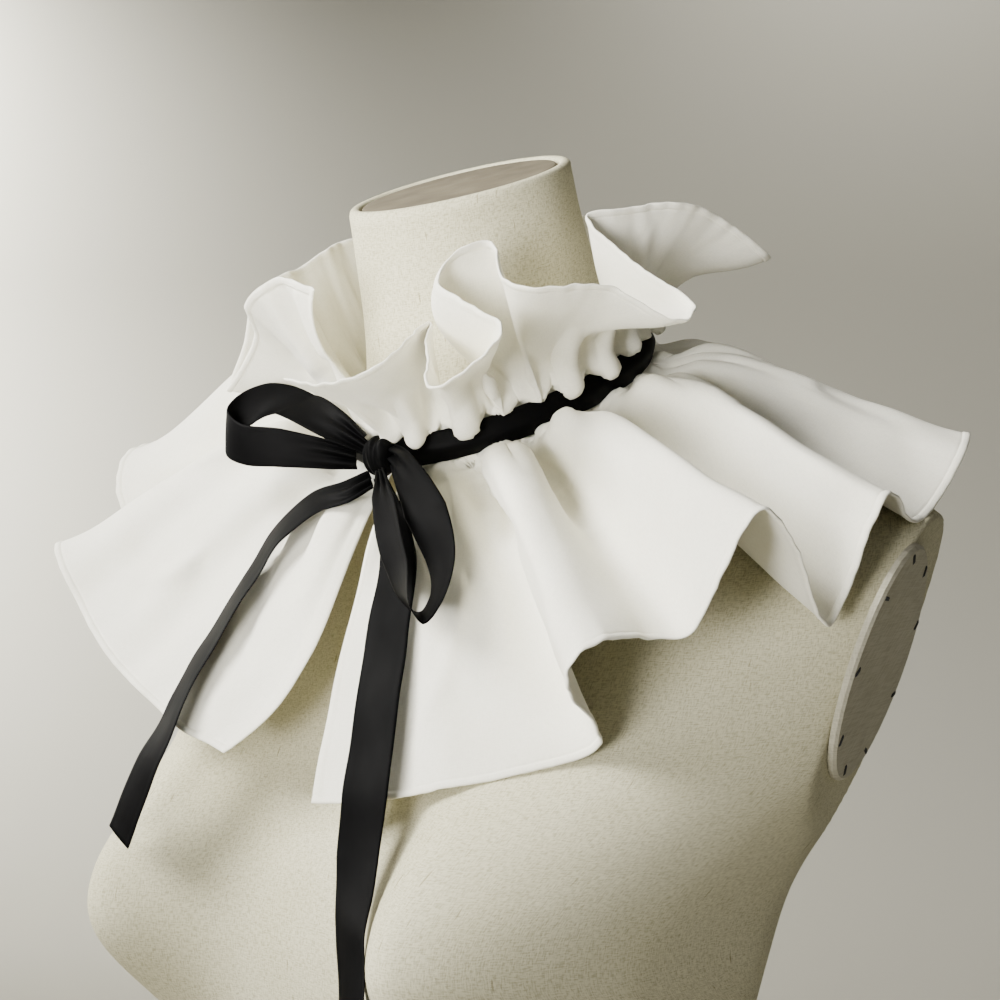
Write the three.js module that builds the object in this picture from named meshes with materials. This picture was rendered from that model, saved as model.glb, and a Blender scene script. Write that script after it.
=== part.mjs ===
// Ruffled false collar tied with a ribbon bow, standing on a limbless dress form.
// Millimetres, +Z up. The front faces -Y and the wearer's left is +X.
// The origin is the centre of the form's flat underside.
import * as THREE from 'three';

// Driving sizes of the collar
const CLOTH_WALL = 1.2;
const RIBBON_WALL = 1.0;
const CINCHED_RIBBON = 13;      // the band's visible width where the tie crumples it
const CUFF = 7.7;               // straight stretch of each frill under the ribbon
const SEAM_GAP = 0.3;
const GATHERS = 26;             // gathers drawn up round the neck
const GATHER_DEPTH = 1.6;
const GATHER_SWELL = 22;        // how much the gathers swell where the frill leaves the ribbon
const HUG = 0.04;               // share of a frill's length that leaves the ribbon straight
const SETTLE = 0.16;            // share over which it then takes up its bow
const GATHER_FADE = 0.5;        // share of a frill's length over which its gathers die out

// The ribbon line round the neck: a tilted oval, its centre above the form's underside
const RING_HEIGHT = 530;
const RING_TILT = 26;
const RING_X = 61.0;
const RING_Y = 69.4;
const RIBBON_STANDS_OFF = 3.2;  // from the cloth's middle surface to the ribbon's
const BAND_END = 1;             // degrees from the front to each end of the band, under the knot

// The form's arm plates lie in planes leaning inwards at the bottom
const PLATE_LEAN = 20.3;
const PLATE_TURN = 16;          // each plate also faces this far backwards
const PLATE_REACH = 205;
const PLATE_HEIGHT = -112;
const PLATE_BACK = 12;
const PLATE_LOWEST = -180;      // the form's sides are flattened down to here
const PLATE_HALF_WIDTH = 38;
const PLATE_HALF_HEIGHT = 44;
const PLATE_THICK = 3;
const PLATE_BEVEL = 1;

// Mesh fineness
const FORM_SEGMENTS = 48;
const PLATE_SEGMENTS = 36;
const STAND_COLUMNS = 150;
const CAPE_COLUMNS = 156;
const BAND_COLUMNS = 96;
const STAND_ROWS = [0.05, 0.16, 0.36, 0.58, 0.8, 1];
const CAPE_ROWS = [0.04, 0.12, 0.25, 0.4, 0.56, 0.72, 0.87, 1];

// Each row is one turn of the stand frill's hem. neck: where on the ribbon line the cloth starts,
// hem: where its hem lies, both in degrees from the front towards the wearer's left.
// reach and rise: the hem's distance out from the neck's axis and up from the ribbon line.
// lift and sway: how far the cloth bows up and towards the wearer's left between the two.
const STAND_FOLDS = [
  { neck: 3, hem: 5, reach: 120, rise: 52, lift: 2, sway: 0 },
  { neck: 8, hem: 13, reach: 123, rise: 48, lift: 3, sway: 0 },
  { neck: 13, hem: 21, reach: 121, rise: 47, lift: 5, sway: 0 },
  { neck: 18, hem: 27, reach: 112, rise: 51, lift: 6, sway: 0 },
  { neck: 24, hem: 31, reach: 80, rise: 52, lift: 0, sway: 0 },
  { neck: 29, hem: 32, reach: 106, rise: 45, lift: 3, sway: 0 },
  { neck: 33, hem: 34, reach: 131, rise: 39, lift: 8, sway: 0 },
  { neck: 38, hem: 41, reach: 128, rise: 42, lift: 8, sway: 0 },
  { neck: 42, hem: 48, reach: 119, rise: 50, lift: 5, sway: 0 },
  { neck: 45.5, hem: 43, reach: 100, rise: 59, lift: 2, sway: 0 },
  { neck: 48.5, hem: 36.6, reach: 86, rise: 66, lift: 0, sway: 0 },
  { neck: 51, hem: 39, reach: 77, rise: 70.5, lift: -1, sway: 0 },
  { neck: 53.5, hem: 46, reach: 73, rise: 74.5, lift: -2, sway: 0 },
  { neck: 56.5, hem: 55.5, reach: 73, rise: 72.5, lift: -2, sway: 0 },
  { neck: 59, hem: 52, reach: 96, rise: 63, lift: 1, sway: 0 },
  { neck: 61.5, hem: 55, reach: 110, rise: 58, lift: 4, sway: 0 },
  { neck: 64, hem: 62, reach: 112, rise: 55, lift: 5, sway: 0 },
  { neck: 70, hem: 70, reach: 115, rise: 48, lift: 6, sway: 0 },
  { neck: 77, hem: 78, reach: 126, rise: 29, lift: 10, sway: 0 },
  { neck: 83, hem: 84, reach: 123, rise: 31, lift: 10, sway: 0 },
  { neck: 90, hem: 89, reach: 92, rise: 47, lift: 3, sway: 0 },
  { neck: 97, hem: 94, reach: 71, rise: 66, lift: -2, sway: 0 },
  { neck: 105, hem: 106, reach: 80, rise: 64, lift: 0, sway: 0 },
  { neck: 113, hem: 116, reach: 100, rise: 57, lift: 3, sway: 0 },
  { neck: 121, hem: 124, reach: 114, rise: 41, lift: 6, sway: 0 },
  { neck: 129, hem: 130, reach: 127, rise: 20, lift: 10, sway: 0 },
  { neck: 137, hem: 140, reach: 112, rise: 26, lift: 8, sway: 0 },
  { neck: 145, hem: 146, reach: 84, rise: 52, lift: 2, sway: 0 },
  { neck: 153, hem: 155, reach: 88, rise: 50, lift: 1, sway: 0 },
  { neck: 162, hem: 165, reach: 114, rise: 30, lift: 7, sway: 0 },
  { neck: 171, hem: 172, reach: 106, rise: 36, lift: 6, sway: 0 },
  { neck: 180, hem: 178, reach: 78, rise: 54, lift: -1, sway: 0 },
  { neck: 190, hem: 192, reach: 84, rise: 50, lift: 1, sway: 0 },
  { neck: 199, hem: 203, reach: 116, rise: 30, lift: 8, sway: 0 },
  { neck: 208, hem: 209, reach: 110, rise: 36, lift: 6, sway: 0 },
  { neck: 217, hem: 215, reach: 80, rise: 54, lift: -1, sway: 0 },
  { neck: 227, hem: 229, reach: 88, rise: 54, lift: 1, sway: 0 },
  { neck: 236, hem: 240, reach: 113, rise: 40, lift: 6, sway: 0 },
  { neck: 246, hem: 247, reach: 100, rise: 52, lift: 4, sway: 0 },
  { neck: 256, hem: 256, reach: 74, rise: 71, lift: -1, sway: 0 },
  { neck: 267, hem: 268, reach: 72, rise: 75, lift: -2, sway: 0 },
  { neck: 279, hem: 280, reach: 69, rise: 75, lift: -2, sway: 0 },
  { neck: 291, hem: 293, reach: 73, rise: 73, lift: -1, sway: 0 },
  { neck: 300, hem: 302, reach: 77, rise: 74, lift: 0, sway: 0 },
  { neck: 308, hem: 309, reach: 90, rise: 70, lift: 2, sway: 0 },
  { neck: 314, hem: 313, reach: 100, rise: 52, lift: 5, sway: 0 },
  { neck: 320, hem: 318, reach: 112, rise: 38, lift: 9, sway: 0 },
  { neck: 326, hem: 324, reach: 94, rise: 56, lift: 4, sway: 0 },
  { neck: 333, hem: 333, reach: 95, rise: 71, lift: 1, sway: 0 },
  { neck: 341, hem: 342, reach: 86, rise: 72, lift: 0, sway: 0 },
  { neck: 349, hem: 350, reach: 82, rise: 72, lift: 0, sway: 0 },
  { neck: 357, hem: 356, reach: 84, rise: 73, lift: 0, sway: 0 },
];

// The same for the cape frill, whose hem lies below the ribbon line, so that rise is negative.
const CAPE_FOLDS = [
  { neck: 3, hem: 5, reach: 182, rise: -96, lift: 4, sway: -4 },
  { neck: 9, hem: 15, reach: 180, rise: -96, lift: 7, sway: -2 },
  { neck: 16, hem: 25, reach: 182, rise: -92, lift: 9, sway: 0 },
  { neck: 24, hem: 35, reach: 180, rise: -93, lift: 8, sway: 0 },
  { neck: 31, hem: 43, reach: 184, rise: -88, lift: 4, sway: 0 },
  { neck: 35, hem: 42, reach: 203, rise: -62, lift: 13, sway: 0 },
  { neck: 39, hem: 42.5, reach: 212, rise: -46, lift: 17, sway: 0 },
  { neck: 44, hem: 46, reach: 210, rise: -40, lift: 13, sway: 0 },
  { neck: 50, hem: 51, reach: 197, rise: -51, lift: 5, sway: 0 },
  { neck: 56, hem: 55, reach: 200, rise: -53, lift: 5, sway: 0 },
  { neck: 61, hem: 59, reach: 207, rise: -32, lift: 13, sway: 0 },
  { neck: 66, hem: 63, reach: 213, rise: -17, lift: 18, sway: 0 },
  { neck: 71, hem: 66, reach: 208, rise: -34, lift: 15, sway: 0 },
  { neck: 76, hem: 68, reach: 200, rise: -70, lift: 6, sway: 0 },
  { neck: 82, hem: 72, reach: 196, rise: -70, lift: 6, sway: 0 },
  { neck: 88, hem: 77, reach: 202, rise: -46, lift: 14, sway: 0 },
  { neck: 95, hem: 80, reach: 202, rise: -40, lift: 17, sway: 0 },
  { neck: 102, hem: 86, reach: 193, rise: -60, lift: 9, sway: 0 },
  { neck: 109, hem: 92, reach: 190, rise: -64, lift: 8, sway: 0 },
  { neck: 116, hem: 102, reach: 194, rise: -55, lift: 10, sway: 0 },
  { neck: 125, hem: 110, reach: 188, rise: -60, lift: 10, sway: 0 },
  { neck: 134, hem: 122, reach: 166, rise: -92, lift: 5, sway: 0 },
  { neck: 142, hem: 134, reach: 172, rise: -90, lift: 7, sway: 0 },
  { neck: 151, hem: 148, reach: 180, rise: -84, lift: 10, sway: 0 },
  { neck: 160, hem: 160, reach: 164, rise: -102, lift: 7, sway: 0 },
  { neck: 169, hem: 170, reach: 160, rise: -108, lift: 5, sway: 0 },
  { neck: 178, hem: 180, reach: 178, rise: -90, lift: 14, sway: 0 },
  { neck: 187, hem: 190, reach: 164, rise: -104, lift: 8, sway: 0 },
  { neck: 196, hem: 200, reach: 162, rise: -106, lift: 5, sway: 0 },
  { neck: 206, hem: 213, reach: 180, rise: -84, lift: 14, sway: 0 },
  { neck: 216, hem: 223, reach: 174, rise: -88, lift: 8, sway: 0 },
  { neck: 226, hem: 233, reach: 168, rise: -88, lift: 6, sway: 0 },
  { neck: 236, hem: 244, reach: 188, rise: -62, lift: 14, sway: 0 },
  { neck: 246, hem: 254, reach: 192, rise: -54, lift: 12, sway: 0 },
  { neck: 255, hem: 264, reach: 196, rise: -40, lift: 20, sway: 0 },
  { neck: 263, hem: 273, reach: 204, rise: -14, lift: 36, sway: 0 },
  { neck: 270, hem: 280, reach: 209, rise: 0, lift: 42, sway: 0 },
  { neck: 277, hem: 286, reach: 212, rise: 2, lift: 38, sway: 0 },
  { neck: 284, hem: 291, reach: 213, rise: -12, lift: 24, sway: 0 },
  { neck: 291, hem: 296, reach: 200, rise: -42, lift: 8, sway: 0 },
  { neck: 298, hem: 302, reach: 200, rise: -42, lift: 8, sway: 0 },
  { neck: 305, hem: 307, reach: 209, rise: -20, lift: 18, sway: 0 },
  { neck: 312, hem: 311, reach: 213, rise: -10, lift: 22, sway: 0 },
  { neck: 320, hem: 318, reach: 206, rise: -32, lift: 16, sway: 0 },
  { neck: 328, hem: 326, reach: 198, rise: -51, lift: 10, sway: 0 },
  { neck: 336, hem: 335, reach: 190, rise: -64, lift: 7, sway: 3 },
  { neck: 344, hem: 343, reach: 187, rise: -72, lift: 8, sway: 8 },
  { neck: 350, hem: 348, reach: 184, rise: -76, lift: 8, sway: 14 },
  { neck: 356, hem: 352, reach: 184, rise: -78, lift: 3, sway: 21 },
];

// The dress form's sections, from the neck's top down. back and up place a section's centre from
// the ribbon line's, tilt leans its plane forwards, half, front and rear are its half width and
// depths, and square is the power of its oval.
const FORM_SECTIONS = [
  { back: -26.6, up: 83, tilt: 19.5, half: 49, front: 49, rear: 49, square: 2 },
  { back: -20.6, up: 63, tilt: 20.5, half: 49.5, front: 50, rear: 50, square: 2 },
  { back: -14, up: 42, tilt: 21, half: 50.5, front: 52.5, rear: 52.5, square: 2 },
  { back: -7.5, up: 22, tilt: 23.5, half: 53, front: 58, rear: 58, square: 2 },
  { back: -3.9, up: 8.1, tilt: 26, half: 56.8, front: 65, rear: 65, square: 2 },
  { back: 0, up: 0, tilt: 26, half: 57.8, front: 66.3, rear: 66.3, square: 2 },
  { back: 3.6, up: -7.4, tilt: 26, half: 58.2, front: 66.6, rear: 66.6, square: 2 },
  { back: 8, up: -18, tilt: 25.5, half: 66, front: 68, rear: 69, square: 2 },
  { back: 11, up: -30, tilt: 24, half: 104, front: 70, rear: 76, square: 2 },
  { back: 13, up: -42, tilt: 21, half: 146, front: 73, rear: 80, square: 1.95 },
  { back: 14, up: -52, tilt: 18, half: 174, front: 75, rear: 82, square: 1.8 },
  { back: 13, up: -64, tilt: 15, half: 197, front: 77, rear: 83, square: 1.8 },
  { back: 9, up: -85, tilt: 10, half: 206, front: 80, rear: 83, square: 1.9 },
  { back: 4, up: -115, tilt: 5, half: 196, front: 85, rear: 82, square: 2.05 },
  { back: -3, up: -150, tilt: 2, half: 176, front: 89, rear: 77, square: 2.25 },
  { back: -10, up: -178, tilt: 1, half: 155, front: 92, rear: 72, square: 2.35 },
  { back: -16, up: -200, tilt: 0, half: 144, front: 95, rear: 69, square: 2.35 },
  { back: -20, up: -228, tilt: 0, half: 137, front: 96, rear: 67, square: 2.3 },
  { back: -21, up: -265, tilt: 0, half: 127, front: 91, rear: 67, square: 2.25 },
  { back: -19, up: -305, tilt: 0, half: 114, front: 85, rear: 71, square: 2.2 },
  { back: -15, up: -345, tilt: 0, half: 104, front: 79, rear: 74, square: 2.2 },
  { back: -8, up: -390, tilt: 0, half: 116, front: 84, rear: 87, square: 2.2 },
  { back: 0, up: -440, tilt: 0, half: 140, front: 94, rear: 103, square: 2.25 },
  { back: 3, up: -490, tilt: 0, half: 156, front: 101, rear: 113, square: 2.3 },
  { back: 3, up: -530, tilt: 0, half: 160, front: 102, rear: 115, square: 2.3 },
];
const BUST_APEX = { x: 90, up: -212, forward: 54, inward: 36, outward: 60, above: 59, below: 54 };
const SHOULDER_SWEEP = 14;      // how far back the sides stand at a shoulder's tip
const SHOULDER_TIP = 200;

// The bow. Each row is one station along a ribbon: at is its centre, measured from the knot towards
// the wearer's left, up and out, across is the direction across the ribbon in the same terms, and
// width is how wide it lies there, less where the knot gathers it.
const RIGHT_LOOP = [
  { at: [-6.9, 6, 2], across: [0, 1, 0.1], width: 9 },
  { at: [-20, 15, 9], across: [0.3, 0.75, -0.5], width: 14 },
  { at: [-38, 23, 14], across: [0.35, 0.45, -0.8], width: 19 },
  { at: [-52, 25, 20], across: [0.3, 0.35, -0.85], width: 19 },
  { at: [-60, 20, 27], across: [0.1, 0.8, -0.55], width: 19 },
  { at: [-60, 11.5, 32], across: [0, 1, -0.1], width: 19 },
  { at: [-49, 7, 33], across: [0, 1, 0.1], width: 17 },
  { at: [-32, 5, 26], across: [0, 1, 0.1], width: 16 },
  { at: [-15, 2, 14], across: [0, 1, 0.1], width: 12 },
  { at: [-7.5, 0, 7], across: [0, 1, 0.1], width: 8 },
];
const LEFT_LOOP = [
  { at: [6.9, 2, 1.5], across: [0.1, 1, 0], width: 9 },
  { at: [22, -4, 9], across: [0.75, 0.6, -0.1], width: 13 },
  { at: [39, -21, 14], across: [0.9, 0.3, -0.3], width: 19 },
  { at: [54, -41, 20], across: [0.93, 0.05, 0.2], width: 20 },
  { at: [60, -55, 29], across: [0.8, -0.2, 0.55], width: 19 },
  { at: [59, -61, 35], across: [0.75, -0.2, 0.65], width: 19 },
  { at: [53, -56, 37], across: [0.8, 0, 0.6], width: 19 },
  { at: [40, -40, 31], across: [0.98, 0, 0.18], width: 18 },
  { at: [21, -16, 19], across: [0.99, 0, 0], width: 13 },
  { at: [7.5, -5, 7], across: [0.9, 0.2, 0.3], width: 7 },
];
const LEFT_TAIL = [
  { at: [2, -8.5, 2], across: [1, 0, -0.1], width: 9 },
  { at: [16, -24, 9], across: [0.97, 0, -0.23], width: 14 },
  { at: [29, -41, 18.5], across: [0.97, 0, -0.23], width: 17 },
  { at: [36, -71, 31], across: [0.97, 0, -0.23], width: 19 },
  { at: [41, -98, 41], across: [0.97, 0, -0.23], width: 19 },
  { at: [47, -125, 52], across: [0.97, 0, -0.2], width: 20 },
  { at: [50, -147, 58], across: [0.96, 0, -0.1], width: 20 },
  { at: [60, -170, 70], across: [0.93, 0, 0.2], width: 20 },
  { at: [72, -195, 80], across: [0.88, 0, 0.3], width: 20 },
  { at: [80, -232, 79], across: [0.93, 0, 0.2], width: 20 },
];
const RIGHT_TAIL = [
  { at: [-4, -8, 2], across: [0.5, -0.8, 0.2], width: 9 },
  { at: [-11, -13, 9], across: [0.6, -0.6, 0.3], width: 13 },
  { at: [-26, -17, 13], across: [0.7, -0.45, 0.4], width: 18 },
  { at: [-37.5, -31, 24], across: [0.8, -0.3, 0.5], width: 20 },
  { at: [-42.5, -46, 32], across: [0.82, -0.25, 0.51], width: 20 },
  { at: [-48, -61, 40], across: [0.82, -0.25, 0.51], width: 20 },
  { at: [-52, -75, 47], across: [0.82, -0.25, 0.51], width: 20 },
  { at: [-55, -89, 55], across: [0.85, -0.2, 0.45], width: 20 },
  { at: [-55, -106, 65], across: [0.9, -0.2, 0.35], width: 19 },
  { at: [-58, -121, 72], across: [0.9, -0.3, 0.25], width: 19 },
  { at: [-66, -150, 80], across: [0.9, -0.35, 0.15], width: 19 },
];
const RIBBON_STEPS = 3;         // mesh steps between one station and the next
const KNOT_OUT = 5.9;           // from the band's middle surface to the knot's centre
const KNOT_RISE = 1.5;
const KNOT_HALF_WIDTH = 6;
const KNOT_HALF_HEIGHT = 7.5;
const KNOT_HALF_DEPTH = 5.2;
const KNOT_RINGS = 9;
const KNOT_SEGMENTS = 16;

const NECK_RIM = 5;             // the rim round the neck's inset cap
const CAP_RECESS = 3;
const CAP_THICK = 2;
const CAP_CLEAR = 0.6;          // between the cap's edge and the rim
const CAP_BEVEL = 1.4;
const CAP_BEVEL_HEIGHT = 0.8;

const ACROSS = new THREE.Vector3(1, 0, 0);
const RING_CENTRE = new THREE.Vector3(0, 0, RING_HEIGHT);
const tilt = THREE.MathUtils.degToRad(RING_TILT);
const FORWARD = new THREE.Vector3(0, -Math.cos(tilt), -Math.sin(tilt));
const NECK_UP = new THREE.Vector3(0, -Math.sin(tilt), Math.cos(tilt));

// A point by its angle round the neck, its distance from the neck's axis and its height there
function aroundNeck(degrees, reach, rise) {
  const angle = THREE.MathUtils.degToRad(degrees);
  return RING_CENTRE.clone()
    .addScaledVector(ACROSS, reach * Math.sin(angle))
    .addScaledVector(FORWARD, reach * Math.cos(angle))
    .addScaledVector(NECK_UP, rise);
}

// A point on the ribbon line's oval, moved out and up from it
function onRing(degrees, out, rise) {
  const angle = THREE.MathUtils.degToRad(degrees);
  return RING_CENTRE.clone()
    .addScaledVector(ACROSS, (RING_X + out) * Math.sin(angle))
    .addScaledVector(FORWARD, (RING_Y + out) * Math.cos(angle))
    .addScaledVector(NECK_UP, rise);
}

// Smooth value of one column of a fold table at a given place along another
function valueAt(rows, along, column, place) {
  let k = 0;
  while (k < rows.length - 2 && place > rows[k + 1][along]) k += 1;
  const slope = (n) => {
    const low = rows[Math.max(n - 1, 0)];
    const high = rows[Math.min(n + 1, rows.length - 1)];
    return (high[column] - low[column]) / (high[along] - low[along]);
  };
  const [p, q] = [rows[k], rows[k + 1]];
  const span = q[along] - p[along];
  const t = THREE.MathUtils.clamp((place - p[along]) / span, 0, 1);
  const t2 = t * t;
  const t3 = t2 * t;
  return (2 * t3 - 3 * t2 + 1) * p[column] + (t3 - 2 * t2 + t) * span * slope(k)
    + (-2 * t3 + 3 * t2) * q[column] + (t3 - t2) * span * slope(k + 1);
}

// A closed wall of even thickness on a grid of points, grid[column][row]
function wall(grid, thickness) {
  const columns = grid.length;
  const rows = grid[0].length;
  const outer = [];
  const inner = [];
  for (let i = 0; i < columns; i += 1) {
    for (let j = 0; j < rows; j += 1) {
      const along = grid[Math.min(i + 1, columns - 1)][j].clone().sub(grid[Math.max(i - 1, 0)][j]);
      const across = grid[i][Math.min(j + 1, rows - 1)].clone().sub(grid[i][Math.max(j - 1, 0)]);
      const normal = along.cross(across).normalize();
      outer.push(grid[i][j].clone().addScaledVector(normal, thickness / 2));
      inner.push(grid[i][j].clone().addScaledVector(normal, -thickness / 2));
    }
  }
  const at = (i, j) => i * rows + j;
  const under = outer.length;
  const faces = [];
  const quad = (a, b, c, d) => faces.push(a, b, c, a, c, d);
  for (let i = 0; i < columns - 1; i += 1) {
    for (let j = 0; j < rows - 1; j += 1) {
      quad(at(i, j), at(i + 1, j), at(i + 1, j + 1), at(i, j + 1));
      quad(under + at(i, j), under + at(i, j + 1), under + at(i + 1, j + 1), under + at(i + 1, j));
    }
    quad(under + at(i, 0), under + at(i + 1, 0), at(i + 1, 0), at(i, 0));
    const top = rows - 1;
    quad(at(i, top), at(i + 1, top), under + at(i + 1, top), under + at(i, top));
  }
  const last = columns - 1;
  for (let j = 0; j < rows - 1; j += 1) {
    quad(at(0, j), at(0, j + 1), under + at(0, j + 1), under + at(0, j));
    quad(at(last, j + 1), at(last, j), under + at(last, j), under + at(last, j + 1));
  }
  return fromPoints([...outer, ...inner], faces);
}

function fromPoints(points, faces) {
  const geometry = new THREE.BufferGeometry();
  geometry.setAttribute('position', new THREE.Float32BufferAttribute(points.flatMap((p) => [p.x, p.y, p.z]), 3));
  geometry.setIndex(faces);
  geometry.computeVertexNormals();
  return geometry;
}

// One frill: a straight cuff under the ribbon, then cloth that bows out to the hem of its table.
// side is 1 for the stand above the ribbon line and -1 for the cape below it.
function frill(folds, columns, shares, side) {
  const grid = [];
  const first = folds[0].neck;
  const last = folds[folds.length - 1].neck;
  for (let i = 0; i <= columns; i += 1) {
    const neck = first + (last - first) * i / columns;
    const value = (column) => valueAt(folds, 'neck', column, neck);
    const turn = Math.PI * 2 * GATHERS * neck / 360;
    const gather = GATHER_DEPTH * Math.sin(turn + 0.9 * Math.sin(neck * 0.11));
    const hem = aroundNeck(value('hem'), value('reach'), value('rise'));
    const root = onRing(neck, gather, side * CUFF);
    const chord = hem.clone().sub(root);
    const along = chord.clone().normalize();
    const bow = NECK_UP.clone().addScaledVector(along, -NECK_UP.dot(along)).normalize();
    const sideways = bow.clone().cross(along);
    const column = [onRing(neck, gather, side * SEAM_GAP / 2), root];
    for (const share of shares) {
      const free = THREE.MathUtils.smoothstep(share, HUG, HUG + SETTLE);
      const lift = value('lift') * free * 6.75 * share * (1 - share) ** 2;
      const fade = Math.max(0, 1 - share / GATHER_FADE) ** 2;
      const sway = value('sway') * 6.75 * share ** 2 * (1 - share);
      const ripple = -side * GATHER_SWELL * gather * fade * free * share;
      column.push(root.clone().addScaledVector(chord, share)
        .addScaledVector(bow, lift + ripple).addScaledVector(sideways, sway));
    }
    grid.push(side > 0 ? column : column.reverse());
  }
  return wall(grid, CLOTH_WALL);
}

// One loop or tail of the bow, a flat ribbon through the stations of its table
function bowRibbon(stations) {
  const knot = onRing(0, RIBBON_STANDS_OFF + KNOT_OUT, 0);
  const spot = ([left, up, out]) => new THREE.Vector3(left, -out, up);
  const curve = new THREE.CatmullRomCurve3(stations.map((s) => spot(s.at).add(knot)), false, 'centripetal');
  const steps = (stations.length - 1) * RIBBON_STEPS;
  const grid = [];
  for (let i = 0; i <= steps; i += 1) {
    const k = Math.min(Math.floor(i / RIBBON_STEPS), stations.length - 2);
    const share = i / RIBBON_STEPS - k;
    const across = spot(stations[k].across).normalize().lerp(spot(stations[k + 1].across).normalize(), share);
    const width = THREE.MathUtils.lerp(stations[k].width, stations[k + 1].width, share);
    const centre = curve.getPoint(i / steps);
    grid.push([-0.5, 0, 0.5].map((side) => centre.clone().addScaledVector(across.normalize(), side * width)));
  }
  return wall(grid, RIBBON_WALL);
}

// The knot is a rounded wrap of ribbon in front of the band
function bowKnot() {
  const centre = onRing(0, RIBBON_STANDS_OFF + KNOT_OUT, KNOT_RISE);
  const rings = [];
  for (let r = 1; r < KNOT_RINGS; r += 1) {
    const polar = Math.PI * r / KNOT_RINGS;
    rings.push(Array.from({ length: KNOT_SEGMENTS }, (_, k) => {
      const angle = 2 * Math.PI * k / KNOT_SEGMENTS;
      return centre.clone()
        .addScaledVector(ACROSS, KNOT_HALF_WIDTH * Math.sin(polar) * Math.sin(angle))
        .addScaledVector(FORWARD, KNOT_HALF_DEPTH * Math.sin(polar) * Math.cos(angle))
        .addScaledVector(NECK_UP, KNOT_HALF_HEIGHT * Math.cos(polar));
    }));
  }
  return throughRings(rings);
}

// How far to the side an arm plate's plane lies, from the ribbon line's centre
function plateX(y, z) {
  const slope = THREE.MathUtils.degToRad(PLATE_LEAN);
  const turn = THREE.MathUtils.degToRad(PLATE_TURN);
  return (PLATE_REACH + Math.sin(slope) * z) / Math.cos(slope) - Math.tan(turn) * (y - PLATE_BACK);
}

// The dress form
function formPoint(section, angle) {
  const power = 2 / section.square;
  const c = Math.cos(angle);
  const s = Math.sin(angle);
  const x = section.half * Math.sign(s) * Math.abs(s) ** power;
  const depth = (c > 0 ? section.front : section.rear) * Math.sign(c) * Math.abs(c) ** power;
  const lean = THREE.MathUtils.degToRad(section.tilt);
  const point = new THREE.Vector3(x, section.back - depth * Math.cos(lean), section.up - depth * Math.sin(lean));
  if (c > 0) {
    const past = Math.abs(point.x) - BUST_APEX.x;
    const aside = past / (past < 0 ? BUST_APEX.inward : BUST_APEX.outward);
    const higher = point.z - BUST_APEX.up;
    const upright = higher / (higher > 0 ? BUST_APEX.above : BUST_APEX.below);
    point.y -= BUST_APEX.forward * Math.exp(-(aside * aside + upright * upright));
  }
  point.y += SHOULDER_SWEEP * (point.x / SHOULDER_TIP) ** 2;
  if (point.z > PLATE_LOWEST) {
    const widest = plateX(point.y, point.z);
    point.x = THREE.MathUtils.clamp(point.x, -widest, widest);
  }
  return point.add(RING_CENTRE);
}

function ringOf(section, inset, drop) {
  const lean = THREE.MathUtils.degToRad(section.tilt);
  const down = new THREE.Vector3(0, Math.sin(lean), -Math.cos(lean)).multiplyScalar(drop);
  const smaller = { ...section, half: section.half - inset, front: section.front - inset, rear: section.rear - inset };
  return Array.from({ length: FORM_SEGMENTS }, (_, k) => formPoint(smaller, 2 * Math.PI * k / FORM_SEGMENTS).add(down));
}

// A closed body through rings of points, from its top ring down, with flat ends
function throughRings(rings) {
  const points = rings.flat();
  const count = rings[0].length;
  const faces = [];
  for (let r = 0; r < rings.length - 1; r += 1) {
    for (let k = 0; k < count; k += 1) {
      const next = (k + 1) % count;
      const [a, b] = [r * count + k, r * count + next];
      faces.push(a, a + count, b + count, a, b + count, b);
    }
  }
  for (const [ring, turned] of [[0, false], [rings.length - 1, true]]) {
    const centre = rings[ring].reduce((sum, p) => sum.add(p), new THREE.Vector3()).divideScalar(count);
    points.push(centre);
    for (let k = 0; k < count; k += 1) {
      const [a, b] = [ring * count + k, ring * count + (k + 1) % count];
      faces.push(...(turned ? [a, points.length - 1, b] : [a, b, points.length - 1]));
    }
  }
  return fromPoints(points, faces);
}

function torso() {
  const top = FORM_SECTIONS[0];
  const rings = [ringOf(top, NECK_RIM, CAP_RECESS), ringOf(top, NECK_RIM, 0)];
  for (const section of FORM_SECTIONS) rings.push(ringOf(section, 0, 0));
  return throughRings(rings);
}

function neckCap() {
  const top = FORM_SECTIONS[0];
  const floor = CAP_RECESS - SEAM_GAP;
  return throughRings([
    ringOf(top, NECK_RIM + CAP_CLEAR + CAP_BEVEL, floor - CAP_THICK),
    ringOf(top, NECK_RIM + CAP_CLEAR, floor - CAP_THICK + CAP_BEVEL_HEIGHT),
    ringOf(top, NECK_RIM + CAP_CLEAR, floor),
  ]);
}

function armPlate(side) {
  const at = (along, up) => {
    const y = PLATE_BACK + along;
    const z = PLATE_HEIGHT + up;
    return new THREE.Vector3(side * plateX(y, z), y, z).add(RING_CENTRE);
  };
  const out = at(1, 0).sub(at(0, 0)).cross(at(0, 1).sub(at(0, 0))).multiplyScalar(side).normalize();
  const ring = (share, height) => Array.from({ length: PLATE_SEGMENTS }, (_, k) => {
    const angle = 2 * Math.PI * k / PLATE_SEGMENTS * side;
    return at(share * PLATE_HALF_WIDTH * Math.cos(angle), share * PLATE_HALF_HEIGHT * Math.sin(angle))
      .addScaledVector(out, height);
  });
  const outside = SEAM_GAP + PLATE_THICK;
  return throughRings([ring(0.97, outside), ring(1, outside - PLATE_BEVEL), ring(1, SEAM_GAP)]);
}

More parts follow.
